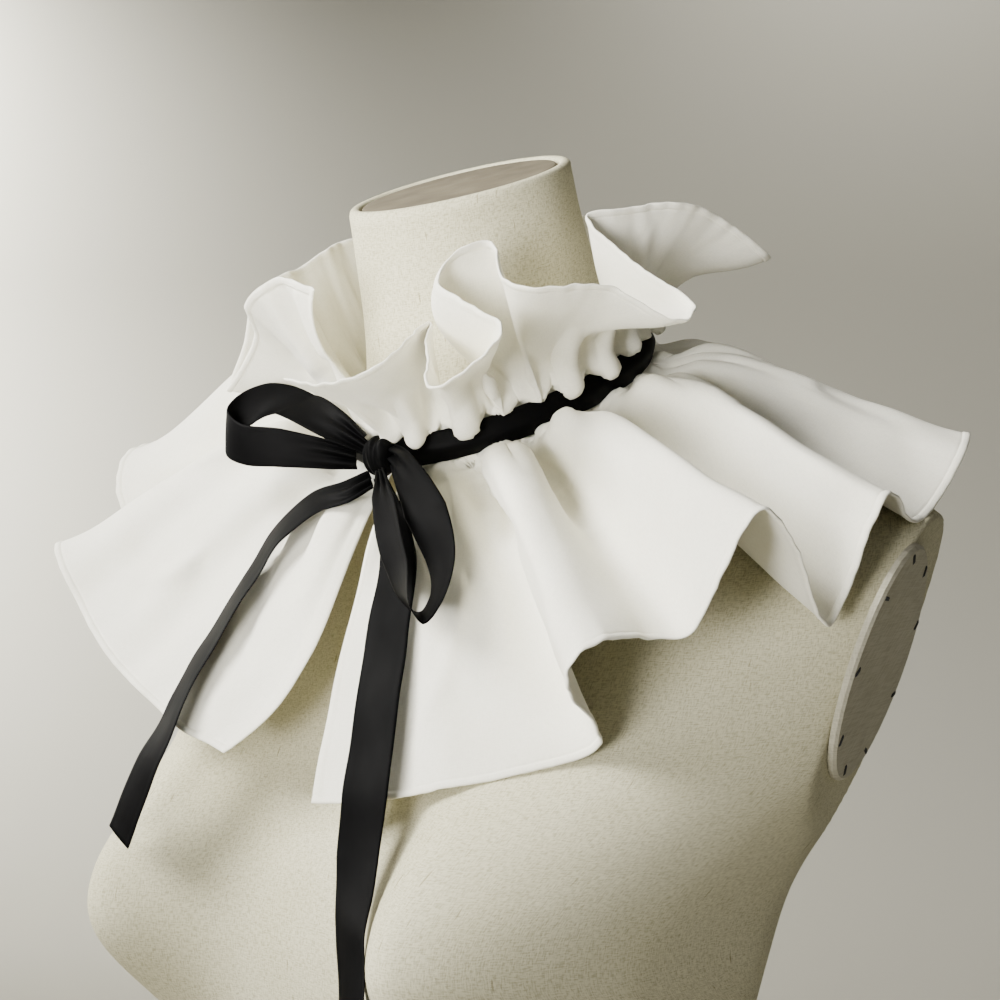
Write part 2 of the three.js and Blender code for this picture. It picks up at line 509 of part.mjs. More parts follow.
// The ribbon's parts
function band() {
  const grid = [];
  for (let i = 0; i <= BAND_COLUMNS; i += 1) {
    const degrees = BAND_END + (360 - 2 * BAND_END) * i / BAND_COLUMNS;
    grid.push([-0.5, 0, 0.5].map((side) => onRing(degrees, RIBBON_STANDS_OFF, side * CINCHED_RIBBON)));
  }
  return wall(grid, RIBBON_WALL);
}

const cotton = new THREE.MeshStandardMaterial({ color: 0xf2f1ee, roughness: 0.9, side: THREE.DoubleSide });
const satin = new THREE.MeshStandardMaterial({ color: 0x0b0b0d, roughness: 0.4 });
const linen = new THREE.MeshStandardMaterial({ color: 0xb8b0a2, roughness: 0.95 });
const board = new THREE.MeshStandardMaterial({ color: 0xa89f90, roughness: 0.9 });

const root = new THREE.Group();
function add(name, geometry, material) {
  const mesh = new THREE.Mesh(geometry, material);
  mesh.name = name;
  root.add(mesh);
}

add('form_torso', torso(), linen);
add('form_neck_cap', neckCap(), board);
add('form_arm_plate_left', armPlate(1), linen);
add('form_arm_plate_right', armPlate(-1), linen);
add('stand_frill', frill(STAND_FOLDS, STAND_COLUMNS, STAND_ROWS, 1), cotton);
add('cape_frill', frill(CAPE_FOLDS, CAPE_COLUMNS, CAPE_ROWS, -1), cotton);
add('ribbon_band', band(), satin);
add('ribbon_knot', bowKnot(), satin);
add('ribbon_loop_left', bowRibbon(LEFT_LOOP), satin);
add('ribbon_loop_right', bowRibbon(RIGHT_LOOP), satin);
add('ribbon_tail_left', bowRibbon(LEFT_TAIL), satin);
add('ribbon_tail_right', bowRibbon(RIGHT_TAIL), satin);

export default root;
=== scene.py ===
"""Looks of a ruffled false collar tied with a ribbon bow, standing on a limbless dress form.

Sizes are in millimetres up to the meshes, which are in metres. +Z is up, the front faces -Y and
the wearer's left is +X. The origin is the centre of the form's flat underside.
"""

import math

import bmesh
import bpy
import numpy as np
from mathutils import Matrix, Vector


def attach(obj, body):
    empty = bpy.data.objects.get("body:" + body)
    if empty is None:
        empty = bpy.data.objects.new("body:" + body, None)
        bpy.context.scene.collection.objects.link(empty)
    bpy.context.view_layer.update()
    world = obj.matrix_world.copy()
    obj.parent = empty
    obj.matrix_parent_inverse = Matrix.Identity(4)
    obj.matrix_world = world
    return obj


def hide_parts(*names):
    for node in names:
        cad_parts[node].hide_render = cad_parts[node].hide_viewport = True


MM = 0.001
HUMP = 27 / 4                   # brings t (1 - t)^2 and t^2 (1 - t) up to 1 at their highest

# Driving sizes, the same as the solids', in millimetres and degrees
RIBBON_WIDTH_ROUND_NECK = 13
CUFF = 7.7
SEAM_GAP = 0.3
STAND_DEEP = 76
CAPE_DEEP = 150
GATHERS = 26
GATHER_DEPTH = 1.6
GATHER_SWELL = 22
GATHER_FADE = 0.5               # share of a frill's length at which the gathers have run out
HUG = 0.04                      # share over which a frill still follows the ribbon
SETTLE = 0.16
RING_HEIGHT = 530
RING_TILT = 26
RING_X = 61.0
RING_Y = 69.4
RIBBON_STANDS_OFF = 3.2
GATHER_DRIFT = 0.9              # how far the gathers wander from even places
GATHER_DRIFT_RATE = 0.11
GATHER_SHARPNESS = 0.28
GATHER_UNEVEN = ((0.3, 0.37, 1), (0.25, 0.83, 2))   # share, rate, side's phase
BAND_END = 1

# The form
BUST_APEX = {"x": 90, "up": -212, "forward": 54, "inward": 36, "outward": 60, "above": 59, "below": 54}
BUST_BLEND = 0.3                # how soon round the form from its sides the bust is full
SHOULDER_SWEEP = 14
SHOULDER_TIP = 200
NECK_RIM = 5
NECK_LEAN = 0.06                # slope of the neck's top down towards the wearer's left
NECK_LEAN_FROM = 30             # above the ring, from where the neck leans
CAP_RECESS = 3
CAP_THICK = 2
CAP_CLEAR = 0.6
CAP_BEVEL = 1.4
CAP_HOLE = 1                    # the middle that one flat face closes
RIM_HIGH = 2.2
RIM_STEPS = 9
BASE_ROUND = 2.5
SEAM_FADES_IN = (10, 25)        # down the form from its top
SEAM_FINE_ANGLES = [0, 0.35, 0.7, 1.1, 1.6, 2.2]
SEAM_CLEAR = 1.2                # even angles start this many times as far out as the last fine one
SEAM_HALF_WIDTH = 1.3
SEAM_DEPTH = 0.8
OUT_OF_REACH = 1e4

# The arm plates, and dark marks on their edges that paint the shade in their slots
PLATE_LEAN = 20.3
PLATE_TURN = 16
PLATE_REACH = 205
PLATE_HEIGHT = -112
PLATE_BACK = 12
PLATE_LOWEST = -180
PLATE_HALF_WIDTH = 38
PLATE_HALF_HEIGHT = 44
PLATE_FACE = 3.3                # from the plate's plane to its outer face
SLOT_SHADES = 9
SLOT_SHADE_CIRCLE = 0.9
SLOT_SHADE_SLANT = 35
SLOT_SHADE_LONG = 4.4
SLOT_SHADE_WIDE = 1.5
SLOT_SHADE_THICK = 0.5
SLOT_SHADE_TAPER = 0.7

# The bow's knot
KNOT_OUT = 5.9
KNOT_RISE = 1.5
KNOT_HALF_WIDTH = 6
KNOT_HALF_HEIGHT = 7.5
KNOT_HALF_DEPTH = 5.2
KNOT_SPARE = 0.9
KNOT_CREASES = 2.6
KNOT_CREASE_DEPTH = 0.07
KNOT_TWIST = 1.1
KNOT_TWIST_FROM = 0.6
KNOT_DENT = {"depth": 0.1, "at": 0.15, "spread": 0.02, "turn": 0.5}
KNOT_BLUNT = 0.5                # below 1: blunter than a ball
KNOT_SLANT = 0.9

# Cloth
COTTON_THICK = 0.5
HEM_THICK = 1.3
HEM_WIDTH = 2.6
FRONT_HEM_WIDTH = 4.2
CUFF_ROWS = (0.4, 0.8)
CUFF_SHARES = (-0.06, -0.04, -0.02)     # the cuff's rows, before the free cloth's
SETTLED = (0.04, 0.3)           # shares between which the cloth comes free of its gathers
HEM_STEP = (0.4, 0.2)           # how far inside and outside its edge a hem's turned cloth steps down
FRONT_HEM_STEP = 0.6
HEM_SLACK = 5
HEM_STITCH_DEEP = 0.25
HEM_STITCH_WIDE = 0.5
EDGE_ROUND = 0.9
EDGE_LEAST = 0.12
PUFF_AT = 4.2                   # from the frill's root, where its gathers puff over the ribbon
PUFF_LONG = 4.6
PUFF_ROUND = 0.3                # below 1: broad lobes with narrow valleys between them
PUFF_LEAST = 0.6                # share of a puff's size that its unevenness leaves alone
STAND_SWELL = 4.4
STAND_DROOP = 4.8
CAPE_SWELL = 1.0
CAPE_DROOP = 1.4
BAND_BULGE = 3.2
SATIN_THICK = 0.4
SATIN_EDGE_THICK = 0.55
SATIN_RIM_THICK = 0.22
RIBBON_WIDE = 20
PLEATS = 2.5
PLEAT_DEPTH = 0.2
PLEAT_REACH = 15                # how far from the knot its pleats run out
RIBBON_CUP = 0.5
BAND_DRIFT = ((1.7, 3), (2.2, 1), (0.6, 11))    # how the band's creases wander: size, turns
BAND_CREASE_DEPTH = 0.2
BAND_CREASE_RATE = 11
BAND_SUNK = 0.6

# Smooth random relief, with waves drawn out along the cloth where a squash is below 1
WAVE_COLUMNS = ("height", "seed", "longest", "shortest", "count", "squash")
FAN_WAVES = (0.7, 31, 60, 20, 18, (1, 0.16))
SOFT_WAVES = (0.35, 41, 80, 25, 18, (1, 1))
HEM_WAVES = (0.4, 51, 13, 7, 10, (1, 0.1))
CAP_WAVES = (0.25, 71, 40, 12, 18, (1, 1))
RIBBON_WAVES = (0.3, 0, 30, 12, 18, (0.6, 0.35))

# Weaves: pitch and length of a thread
COTTON_WEAVE = (0.45, 3.0)
LINEN_WEAVE = (0.5, 2.4)
LINEN_COARSE_WEAVE = (1.3, 16.0)
PLATE_WEAVE = (0.62, 5.0)
SATIN_WEAVE = (0.22, 4.0)

# Colours, from the darkest to the palest of each cloth
COTTON_TONES = ((0.88, 0.855, 0.735), (0.92, 0.9, 0.785))
LINEN_TONES = ((0.6, 0.568, 0.4), (0.66, 0.628, 0.46))
BOARD_TONES = ((0.09, 0.074, 0.045), (0.14, 0.118, 0.075))
PLATE_TONES = ((0.5, 0.475, 0.38), (0.56, 0.535, 0.43))
SATIN_TONES = ((0.001, 0.001, 0.0011), (0.0017, 0.0017, 0.0019))
# painted shade: near black, for the marks that stand in for the shade in the arm plates' slots
SLOT_SHADE_DARK = (0.03, 0.03, 0.032)

# Mesh fineness
STAND_COLUMNS = 760
STAND_ROWS = 26
CAPE_COLUMNS = 620
CAPE_ROWS = 44
NEAR_RIBBON = 14
NEAR_RIBBON_ROWS = 14
NEAR_HEM = 5
NEAR_HEM_ROWS = 12
FRONT_EDGE = 1.6                # degrees of finer columns at each front edge
FRONT_EDGE_COLUMNS = 11
CREASE_STEPS = 26
CREASE_SPAN = 54                # columns to each side of a crease that it can reach
CREASE_START = 0.1              # share of a crease's length over which it rounds up to its full height
CREASE_END = 0.8                # below 1: it keeps its height for longer, then ends
FORM_SEGMENTS = 320
FORM_RINGS = 220
ROUND_STEPS = 6
CAP_RINGS = 26
BOW_STEPS = 18                  # columns between two stations of the bow
BOW_ROWS = 23
BAND_COLUMNS = 420
BAND_ROWS = 27
KNOT_COLUMNS = 96
KNOT_ROWS = 56

# Folds: where a ridge or trough leaves the neck and meets the hem, in degrees from the front
# towards the wearer's left, how far and how high the hem is, and how the cloth lifts and sways
FOLD_COLUMNS = ("neck", "hem", "reach", "rise", "lift", "sway")
STAND_FOLDS = [
    (3, 5, 120, 52, 2, 0),
    (8, 13, 123, 48, 3, 0),
    (13, 21, 121, 47, 5, 0),
    (18, 27, 112, 51, 6, 0),
    (24, 31, 80, 52, 0, 0),
    (29, 32, 106, 45, 3, 0),
    (33, 34, 131, 39, 8, 0),
    (38, 41, 128, 42, 8, 0),
    (42, 48, 119, 50, 5, 0),
    (45.5, 43, 100, 59, 2, -3),
    (48.5, 37.5, 86, 66, 0, -11),
    (51, 39.5, 77, 70.5, -1, -12),
    (53.5, 46, 73, 74.5, -2, -6),
    (56.5, 55.5, 73, 72.5, -2, 0),
    (59, 52, 96, 63, 1, 0),
    (61.5, 55, 110, 58, 4, 0),
    (64, 62, 112, 55, 5, 0),
    (70, 70, 115, 48, 6, 0),
    (77, 78, 126, 29, 10, 0),
    (83, 84, 123, 31, 10, 0),
    (90, 89, 92, 47, 3, 0),
    (97, 94, 71, 66, -2, 0),
    (105, 106, 80, 64, 0, 0),
    (113, 116, 100, 57, 3, 0),
    (121, 124, 114, 41, 6, 0),
    (129, 130, 127, 20, 10, 0),
    (137, 140, 112, 26, 8, 0),
    (145, 146, 84, 52, 2, 0),
    (153, 155, 88, 50, 1, 0),
    (162, 165, 114, 30, 7, 0),
    (171, 172, 106, 36, 6, 0),
    (180, 178, 78, 54, -1, 0),
    (190, 192, 84, 50, 1, 0),
    (199, 203, 116, 30, 8, 0),
    (208, 209, 110, 36, 6, 0),
    (217, 215, 80, 54, -1, 0),
    (227, 229, 88, 54, 1, 0),
    (236, 240, 113, 40, 6, 0),
    (246, 247, 100, 52, 4, 0),
    (256, 256, 74, 71, -1, 0),
    (267, 268, 72, 75, -2, 0),
    (279, 280, 69, 75, -2, 0),
    (291, 293, 73, 73, -1, 0),
    (300, 302, 77, 74, 0, 0),
    (308, 309, 90, 70, 2, 0),
    (314, 313, 100, 52, 5, 0),
    (320, 318, 112, 38, 9, 0),
    (326, 324, 94, 56, 4, 0),
    (333, 333, 93, 74, 1, 0),
    (341, 343, 83, 81, 1, 0),
    (349, 352, 83, 79, 0, -3),
    (357, 362, 84, 75, 0, -9.5),
]
CAPE_FOLDS = [
    (3, 5, 182, -96, 4, -4),
    (9, 15, 180, -96, 7, -2),
    (16, 25, 182, -92, 9, 0),
    (24, 35, 180, -93, 8, 0),
    (31, 43, 184, -88, 4, 0),
    (35, 42, 203, -62, 13, 0),
    (39, 42.5, 212, -46, 17, 0),
    (44, 46, 210, -40, 13, 0),
    (50, 51, 197, -51, 5, 0),
    (56, 55, 200, -53, 11, 0),
    (61, 59, 207, -32, 17, 0),
    (66, 63, 213, -17, 14, 0),
    (71, 66, 208, -34, 7, 0),
    (76, 68, 200, -70, 3, 0),
    (82, 72, 196, -70, 6, 0),
    (88, 77, 202, -46, 14, 0),
    (95, 80, 202, -40, 17, 0),
    (102, 86, 193, -60, 9, 0),
    (109, 92, 190, -64, 8, 0),
    (116, 102, 194, -55, 10, 0),
    (125, 110, 188, -60, 10, 0),
    (134, 122, 166, -92, 5, 0),
    (142, 134, 172, -90, 7, 0),
    (151, 148, 180, -84, 10, 0),
    (160, 160, 164, -102, 7, 0),
    (169, 170, 160, -108, 5, 0),
    (178, 180, 178, -90, 14, 0),
    (187, 190, 164, -104, 8, 0),
    (196, 200, 162, -106, 5, 0),
    (206, 213, 180, -84, 14, 0),
    (216, 223, 174, -88, 8, 0),
    (226, 233, 168, -88, 6, 0),
    (236, 244, 188, -62, 14, 0),
    (246, 254, 192, -54, 12, 0),
    (255, 264, 196, -40, 20, 0),
    (263, 273, 204, -14, 36, 0),
    (270, 280, 209, 0, 42, 0),
    (277, 286, 212, 2, 38, 0),
    (284, 291, 213, -12, 24, 0),
    (291, 296, 200, -42, 8, 0),
    (298, 302, 200, -42, 8, 0),
    (305, 307, 209, -20, 18, 0),
    (312, 311, 213, -10, 22, 0),
    (320, 318, 206, -32, 16, 0),
    (328, 326, 198, -51, 10, 0),
    (336, 335, 190, -64, 7, 3),
    (344, 343, 187, -72, 8, 8),
    (350, 348, 184, -76, 8, 14),
    (356, 352, 184, -78, 3, 21),
]

# Ridges (height above 0) and troughs (below 0) on a frill, from one place on it to another
CREASE_COLUMNS = ("neck", "share", "to_neck", "to_share", "bend", "wide", "height")
STAND_CREASES = [
    (14, 0.02, 8, 0.55, 0, 6, 2.5),
    (20, 0.02, 20, 0.5, 0, 3.5, -2.5),
    (27.5, 0.02, 30, 0.45, 0, 3.5, -3.5),
    (34, 0.02, 37, 0.6, 0, 7, 3.5),
    (42.5, 0.02, 44, 0.4, 0, 3.5, -3.5),
    (53, 0.02, 54, 0.45, 0, 6, 3),
    (59.5, 0.02, 60, 0.4, 0, 3.5, -3),
    (68, 0.02, 69, 0.5, 0, 6, 3),
    (75.5, 0.02, 76, 0.4, 0, 3.5, -3),
    (84, 0.02, 84, 0.45, 0, 6, 2.5),
    (92, 0.02, 93, 0.4, 0, 3.5, -3),
    (101, 0.02, 99, 0.5, 0, 6, 2.5),
    (109, 0.5, 108, 1.0, 0, 3.5, 2.5),
    (117, 0.02, 119, 0.45, 0, 4, -3),
    (128, 0.02, 129, 0.5, 0, 6, 2.5),
    (146, 0.02, 144, 0.5, 0, 4, -3),
    (163, 0.02, 165, 0.55, 0, 6, 2.5),
    (181, 0.02, 179, 0.5, 0, 4, -3),
    (200, 0.02, 202, 0.5, 0, 6, 2.5),
    (214, 0.02, 214, 0.45, 0, 4, -3),
    (237, 0.02, 239, 0.55, 0, 6, 2.5),
    (252, 0.02, 254, 0.45, 0, 4, -3),
    (268, 0.02, 266, 0.5, 0, 6, 2),
    (283, 0.02, 281, 0.5, 0, 4, -2.5),
    (305, 0.02, 307, 0.45, 0, 5, 2),
    (329, 0.45, 331, 1.0, 0, 4, -3),
    (338, 0.4, 337, 1.0, 0, 4, 3),
    (351, 0.5, 349, 1.0, 0, 4, 3),
    (322, 0.02, 322, 0.5, 0, 4, -2.5),
    (336, 0.02, 333, 0.6, 0, 5, 2),
    (346, 0.02, 344, 0.5, 0, 3.5, -2.5),
]
CAPE_CREASES = [
    (12, 0.0, 10, 0.35, 0, 3.5, -3),
    (20, 0.0, 24, 0.5, 0, 5, 3.5),
    (27.5, 0.0, 35.5, 0.52, 0, 5.5, -12),
    (39.5, 0.0, 43, 0.62, 0, 9.5, 6),
    (49.5, 0.0, 50, 0.55, 0, 4.6, -8),
    (56.5, 0.0, 62, 0.6, 0, 8.5, 5.5),
    (65, 0.0, 70, 0.5, 0, 4.2, -6),
    (70.5, 0.0, 73, 0.4, 0, 3.5, 3),
    (76, 0.0, 78, 0.45, 0, 4.2, -5),
    (86, 0.0, 92, 0.5, 0, 9, 5),
    (95, 0.0, 99, 0.4, 0, 4, -5),
    (103, 0.0, 103, 0.45, 0, 6, 4),
    (110, 0.0, 112, 0.45, 0, 5, -5),
    (125, 0.0, 118, 0.5, 0, 8, 4),
    (134, 0.0, 130, 0.45, 0, 5, -5),
    (150, 0.0, 149, 0.5, 0, 8, 4),
    (160, 0.0, 161, 0.4, 0, 5, -4.5),
    (176, 0.0, 179, 0.45, 0, 8, 4),
    (187, 0.0, 190, 0.4, 0, 4.5, -4),
    (204, 0.0, 208, 0.5, 0, 8, 4),
    (215, 0.0, 220, 0.4, 0, 5, -4.5),
    (236, 0.0, 241, 0.5, 0, 9, 4),
    (247, 0.0, 250, 0.4, 0, 4.5, -4),
    (21, 0.45, 11.5, 0.92, 0, 4, 2),
    (326, 0.1, 327, 0.85, -2, 9, 4),
    (331, 0.2, 346, 0.85, 1, 6, -5),
    (340, 0.05, 338, 0.4, 0, 4, -3),
    (327, 0.6, 317, 0.86, 2, 5, 3),
    (317, 0.3, 312, 0.65, 0, 6, -3.5),
    (308, 0.05, 304, 0.5, 0, 7, 3),
    (300, 0.15, 294, 0.62, 2, 7, -4),
    (288, 0.5, 282, 0.9, 0, 6, 2.5),
    (352, 0.1, 351, 0.6, 0, 5, 2.5),
    (120, 0.55, 112, 0.9, 2, 6, -2),
    (228, 0.5, 236, 0.88, -2, 6, -2),
    (181, 0.55, 178, 0.9, 1, 5, 2),
    (150, 0.6, 154, 0.92, 0, 5, -2),
]

# Sections of the form from the neck's top down, their places from the neck's ring
SECTION_COLUMNS = ("back", "up", "tilt", "half", "front", "rear", "square")
FORM_SECTIONS = [
    (-26.6, 85.5, 23, 49, 49, 49, 2),
    (-20.6, 63, 22, 49.5, 50, 50, 2),
    (-14, 42, 21.8, 50.5, 52.5, 52.5, 2),
    (-7.5, 22, 23.5, 53, 58, 58, 2),
    (-3.9, 8.1, 26, 56.8, 65, 65, 2),
    (0, 0, 26, 57.8, 66.3, 66.3, 2),
    (3.6, -7.4, 26, 58.2, 66.6, 66.6, 2),
    (8, -18, 25.5, 66, 68, 69, 2),
    (11, -30, 24, 104, 70, 76, 2),
    (13, -42, 21, 146, 73, 80, 1.95),
    (14, -52, 18, 174, 75, 82, 1.8),
    (13, -64, 15, 197, 77, 83, 1.8),
    (9, -85, 10, 206, 80, 83, 1.9),
    (4, -115, 5, 196, 85, 82, 2.05),
    (-3, -150, 2, 176, 89, 77, 2.25),
    (-10, -178, 1, 155, 92, 72, 2.35),
    (-16, -200, 0, 144, 95, 69, 2.35),
    (-20, -228, 0, 137, 96, 67, 2.3),
    (-21, -265, 0, 127, 91, 67, 2.25),
    (-19, -305, 0, 114, 85, 71, 2.2),
    (-15, -345, 0, 104, 79, 74, 2.2),
    (-8, -390, 0, 116, 84, 87, 2.2),
    (0, -440, 0, 140, 94, 103, 2.25),
    (3, -490, 0, 156, 101, 113, 2.3),
    (3, -530, 0, 160, 102, 115, 2.3),
]

# The bow's ribbons, from the knot: centre (left, up, out), direction across, width
RIGHT_LOOP = [
    ((-6.9, 6, 2), (0, 1, 0.1), 9),
    ((-20, 15, 9), (0.3, 0.75, -0.5), 14),
    ((-38, 24, 14), (0.35, 0.42, -0.8), 19),
    ((-52, 24.5, 20), (0.1, 0.9, -0.4), 19.5),
    ((-60, 19.5, 27), (0.03, 1, -0.2), 19.5),
    ((-60, 13, 32), (0, 1, -0.05), 19.5),
    ((-49, 7, 33), (0, 1, 0.1), 17),
    ((-32, 5, 26), (0, 1, 0.1), 16),
    ((-15, 2, 14), (0, 1, 0.1), 12),
    ((-7.5, 0, 7), (0, 1, 0.1), 8),
]
LEFT_LOOP = [
    ((6.9, 2, 1.5), (0.1, 1, 0), 9),
    ((22, -4, 9), (0.75, 0.6, -0.1), 13),
    ((39, -21, 14), (0.9, 0.3, -0.3), 19),
    ((54, -41, 20), (0.93, 0.05, 0.2), 20),
    ((60, -55, 29), (0.8, -0.2, 0.55), 19),
    ((59, -61, 35), (0.75, -0.2, 0.65), 19),
    ((53, -56, 37), (0.8, 0, 0.6), 19),
    ((40, -40, 31), (0.98, 0, 0.18), 18),
    ((21, -16, 19), (0.99, 0, 0), 13),
    ((7.5, -5, 7), (0.9, 0.2, 0.3), 7),
]
LEFT_TAIL = [
    ((2, -8.5, 2), (1, 0, -0.1), 9),
    ((16, -24, 9), (0.97, 0, -0.23), 14),
    ((29, -41, 18.5), (0.97, 0, -0.23), 17),
    ((36, -71, 31), (0.97, 0, -0.23), 19),
    ((41, -98, 41), (0.97, 0, -0.23), 19),
    ((47, -125, 52), (0.97, 0, -0.2), 20),
    ((50, -147, 58), (0.96, 0, -0.1), 20),
    ((60, -170, 70), (0.93, 0, 0.2), 20),
    ((72, -195, 80), (0.88, 0, 0.3), 20),
    ((80, -232, 79), (0.93, 0, 0.2), 20),
]
RIGHT_TAIL = [
    ((-4, -8, 2), (0.5, -0.8, 0.2), 9),
    ((-11, -13, 9), (0.6, -0.6, 0.3), 13),
    ((-26, -17, 13), (0.7, -0.45, 0.4), 18),
    ((-37.5, -31, 24), (0.8, -0.3, 0.5), 20),
    ((-42.5, -46, 32), (0.82, -0.25, 0.51), 20),
    ((-48, -61, 40), (0.82, -0.25, 0.51), 20),
    ((-52, -75, 47), (0.82, -0.25, 0.51), 20),
    ((-55, -89, 55), (0.85, -0.2, 0.45), 20),
    ((-55, -106, 65), (0.9, -0.2, 0.35), 19),
    ((-58, -121, 72), (0.9, -0.3, 0.25), 19),
    ((-66, -150, 80), (0.9, -0.35, 0.15), 19),
]

# Stage sizes, in millimetres from the form's middle along the view
FLOOR_FRONT = -3000
FLOOR_BACK = 1100
FLOOR_CURVE = 900
FLOOR_CURVE_STEPS = 25
FLOOR_HALF = 6000
BACKDROP_HIGH = 4000
FLOOR_GAP = 0.2
PALE_FLOOR = (0.45, 0.435, 0.375)

# Camera and lights, in metres, watts and degrees
CAMERA_PLACE = (0.4923, -0.5279, 0.4618)
VIEW_DIRECTION = (-0.682, 0.731, 0.026)
FIELD_OF_VIEW = 33.66
COLLAR_MIDDLE = (0, 0, 0.5)
WARM_LIGHT = (1, 0.98, 0.93)
WALL_LIGHT = (1, 0.985, 0.93)
ROOM_LIGHT = (0.92, 0.9, 0.85)
ROOM_STRENGTH = 0.18
LIGHT_COLUMNS = ("name", "place", "target", "size", "power", "colour", "spread")
LIGHTS = [
    ("key", (-0.42, -0.95, 1.2), COLLAR_MIDDLE, 0.75, 11.5, WARM_LIGHT, 85),
    ("side", (-1.1, -0.2, 0.9), COLLAR_MIDDLE, 0.8, 9, WARM_LIGHT, 180),
    ("low", (0.2, -0.8, 0.45), (0.03, -0.05, 0.62), 0.4, 1.5, WARM_LIGHT, 55),
    ("wall", (-2.4, 0.3, 1.4), (-2.52, 1.3, 0.28), 1.0, 125, WALL_LIGHT, 130),
    ("upper", (-0.6, 1.3, 2.0), (-0.8, 2.2, 1.3), 0.6, 7, WALL_LIGHT, 120),
]

TILT = math.radians(RING_TILT)
CENTRE = np.array([0.0, 0.0, RING_HEIGHT])
ACROSS = np.array([1.0, 0.0, 0.0])
FORWARD = np.array([0.0, -math.cos(TILT), -math.sin(TILT)])
NECK_UP = np.array([0.0, -math.sin(TILT), math.cos(TILT)])


# Geometry helpers

def along_axes(*pairs):
    """Sums numbers times directions, for arrays of numbers."""
    return sum(np.multiply.outer(np.asarray(number, float), axis) for number, axis in pairs)


def around_neck(degrees, reach, rise):
    angle = np.radians(degrees)
    side = reach * np.sin(angle)
    front = reach * np.cos(angle)
    return CENTRE + along_axes((side, ACROSS), (front, FORWARD), (rise, NECK_UP))


def on_ring(degrees, out, rise):
    angle = np.radians(degrees)
    side = (RING_X + out) * np.sin(angle)
    front = (RING_Y + out) * np.cos(angle)
    return CENTRE + along_axes((side, ACROSS), (front, FORWARD), (rise + 0 * angle, NECK_UP))


def smooth_step(x, low, high):
    t = np.clip((x - low) / (high - low), 0, 1)
    return t * t * (3 - 2 * t)


def table_value(places, values, at):
    """Smooth value of a table's column at any place, through its rows."""
    places = np.asarray(places, float)
    values = np.asarray(values, float)
    low = np.maximum(np.arange(len(places)) - 1, 0)
    high = np.minimum(np.arange(len(places)) + 1, len(places) - 1)
    slopes = (values[high] - values[low]) / (places[high] - places[low])
    k = np.clip(np.searchsorted(places, at, side="left") - 1, 0, len(places) - 2)
    span = places[k + 1] - places[k]
    t = np.clip((at - places[k]) / span, 0, 1)
    t2, t3 = t * t, t * t * t
    start = (2 * t3 - 3 * t2 + 1) * values[k] + (t3 - 2 * t2 + t) * span * slopes[k]
    return start + (3 * t2 - 2 * t3) * values[k + 1] + (t3 - t2) * span * slopes[k + 1]


def unit(vectors):
    return vectors / np.maximum(np.linalg.norm(vectors, axis=-1, keepdims=True), 1e-9)


def grid_normals(grid):
    return unit(np.cross(np.gradient(grid, axis=0), np.gradient(grid, axis=1)))


def waves(places, row, shift=0):
    """Smooth random relief at an array of 2-D places. shift makes another one of the same kind."""
    wave = dict(zip(WAVE_COLUMNS, row))
    draw = np.random.default_rng(wave["seed"] + shift)
    places = places * wave["squash"]
    total = np.zeros(places.shape[:-1])
    for _ in range(wave["count"]):
        length = math.exp(draw.uniform(math.log(wave["shortest"]), math.log(wave["longest"])))
        turn = draw.uniform(0, 2 * math.pi)
        phase = draw.uniform(0, 2 * math.pi)
        along = places[..., 0] * math.cos(turn) + places[..., 1] * math.sin(turn)
        total += np.sin(along * 2 * math.pi / length + phase)
    return wave["height"] * (total / math.sqrt(wave["count"]))


def run_along(points):
    """Distances along a row of points, from its first."""
    steps = np.linalg.norm(np.diff(points, axis=0), axis=1)
    return np.concatenate([[0], np.cumsum(steps)])


def new_object(name, points, faces, uv=None, material=None):
    mesh = bpy.data.meshes.new(name)
    mesh.from_pydata((np.asarray(points) * MM).tolist(), [], faces)
    if uv is not None:
        layer = mesh.uv_layers.new(name="UVMap")
        corner = np.empty(len(mesh.loops), dtype=np.int32)
        mesh.loops.foreach_get("vertex_index", corner)
        layer.data.foreach_set("uv", (np.asarray(uv)[corner] * MM).ravel())
    mesh.polygons.foreach_set("use_smooth", [True] * len(mesh.polygons))
    mesh.update()
    obj = bpy.data.objects.new(name, mesh)
    bpy.context.scene.collection.objects.link(obj)
    if material:
        mesh.materials.append(material)
    return obj


def shell(name, grid, thickness, uv, material):
    """A closed wall on a grid of points. thickness is one number or one for each point."""
    columns, rows = grid.shape[:2]
    half = np.broadcast_to(np.asarray(thickness, float), (columns, rows))[..., None] / 2
    normals = grid_normals(grid)
    points = np.concatenate([grid + normals * half, grid - normals * half]).reshape(-1, 3)
    under = columns * rows
    at = np.arange(under).reshape(columns, rows)
    a, b, c, d = at[:-1, :-1], at[1:, :-1], at[1:, 1:], at[:-1, 1:]
    upper = np.stack([a, b, c, d], -1).reshape(-1, 4)
    lower = np.stack([a, d, c, b], -1).reshape(-1, 4) + under
    faces = [upper, lower]
    for edge, turned in ((at[:, 0], True), (at[:, -1], False), (at[0], False), (at[-1], True)):
        p, q = edge[:-1], edge[1:]
        quad = (q, p, p + under, q + under) if turned else (p, q, q + under, p + under)
        faces.append(np.stack(quad, -1))
    spread = np.concatenate([uv.reshape(-1, 2)] * 2)
    return new_object(name, points, np.concatenate(faces).tolist(), spread, material)


# Materials

def principled(name):
    material = bpy.data.materials.new(name)
    material.use_nodes = True
    return material, material.node_tree, material.node_tree.nodes["Principled BSDF"]


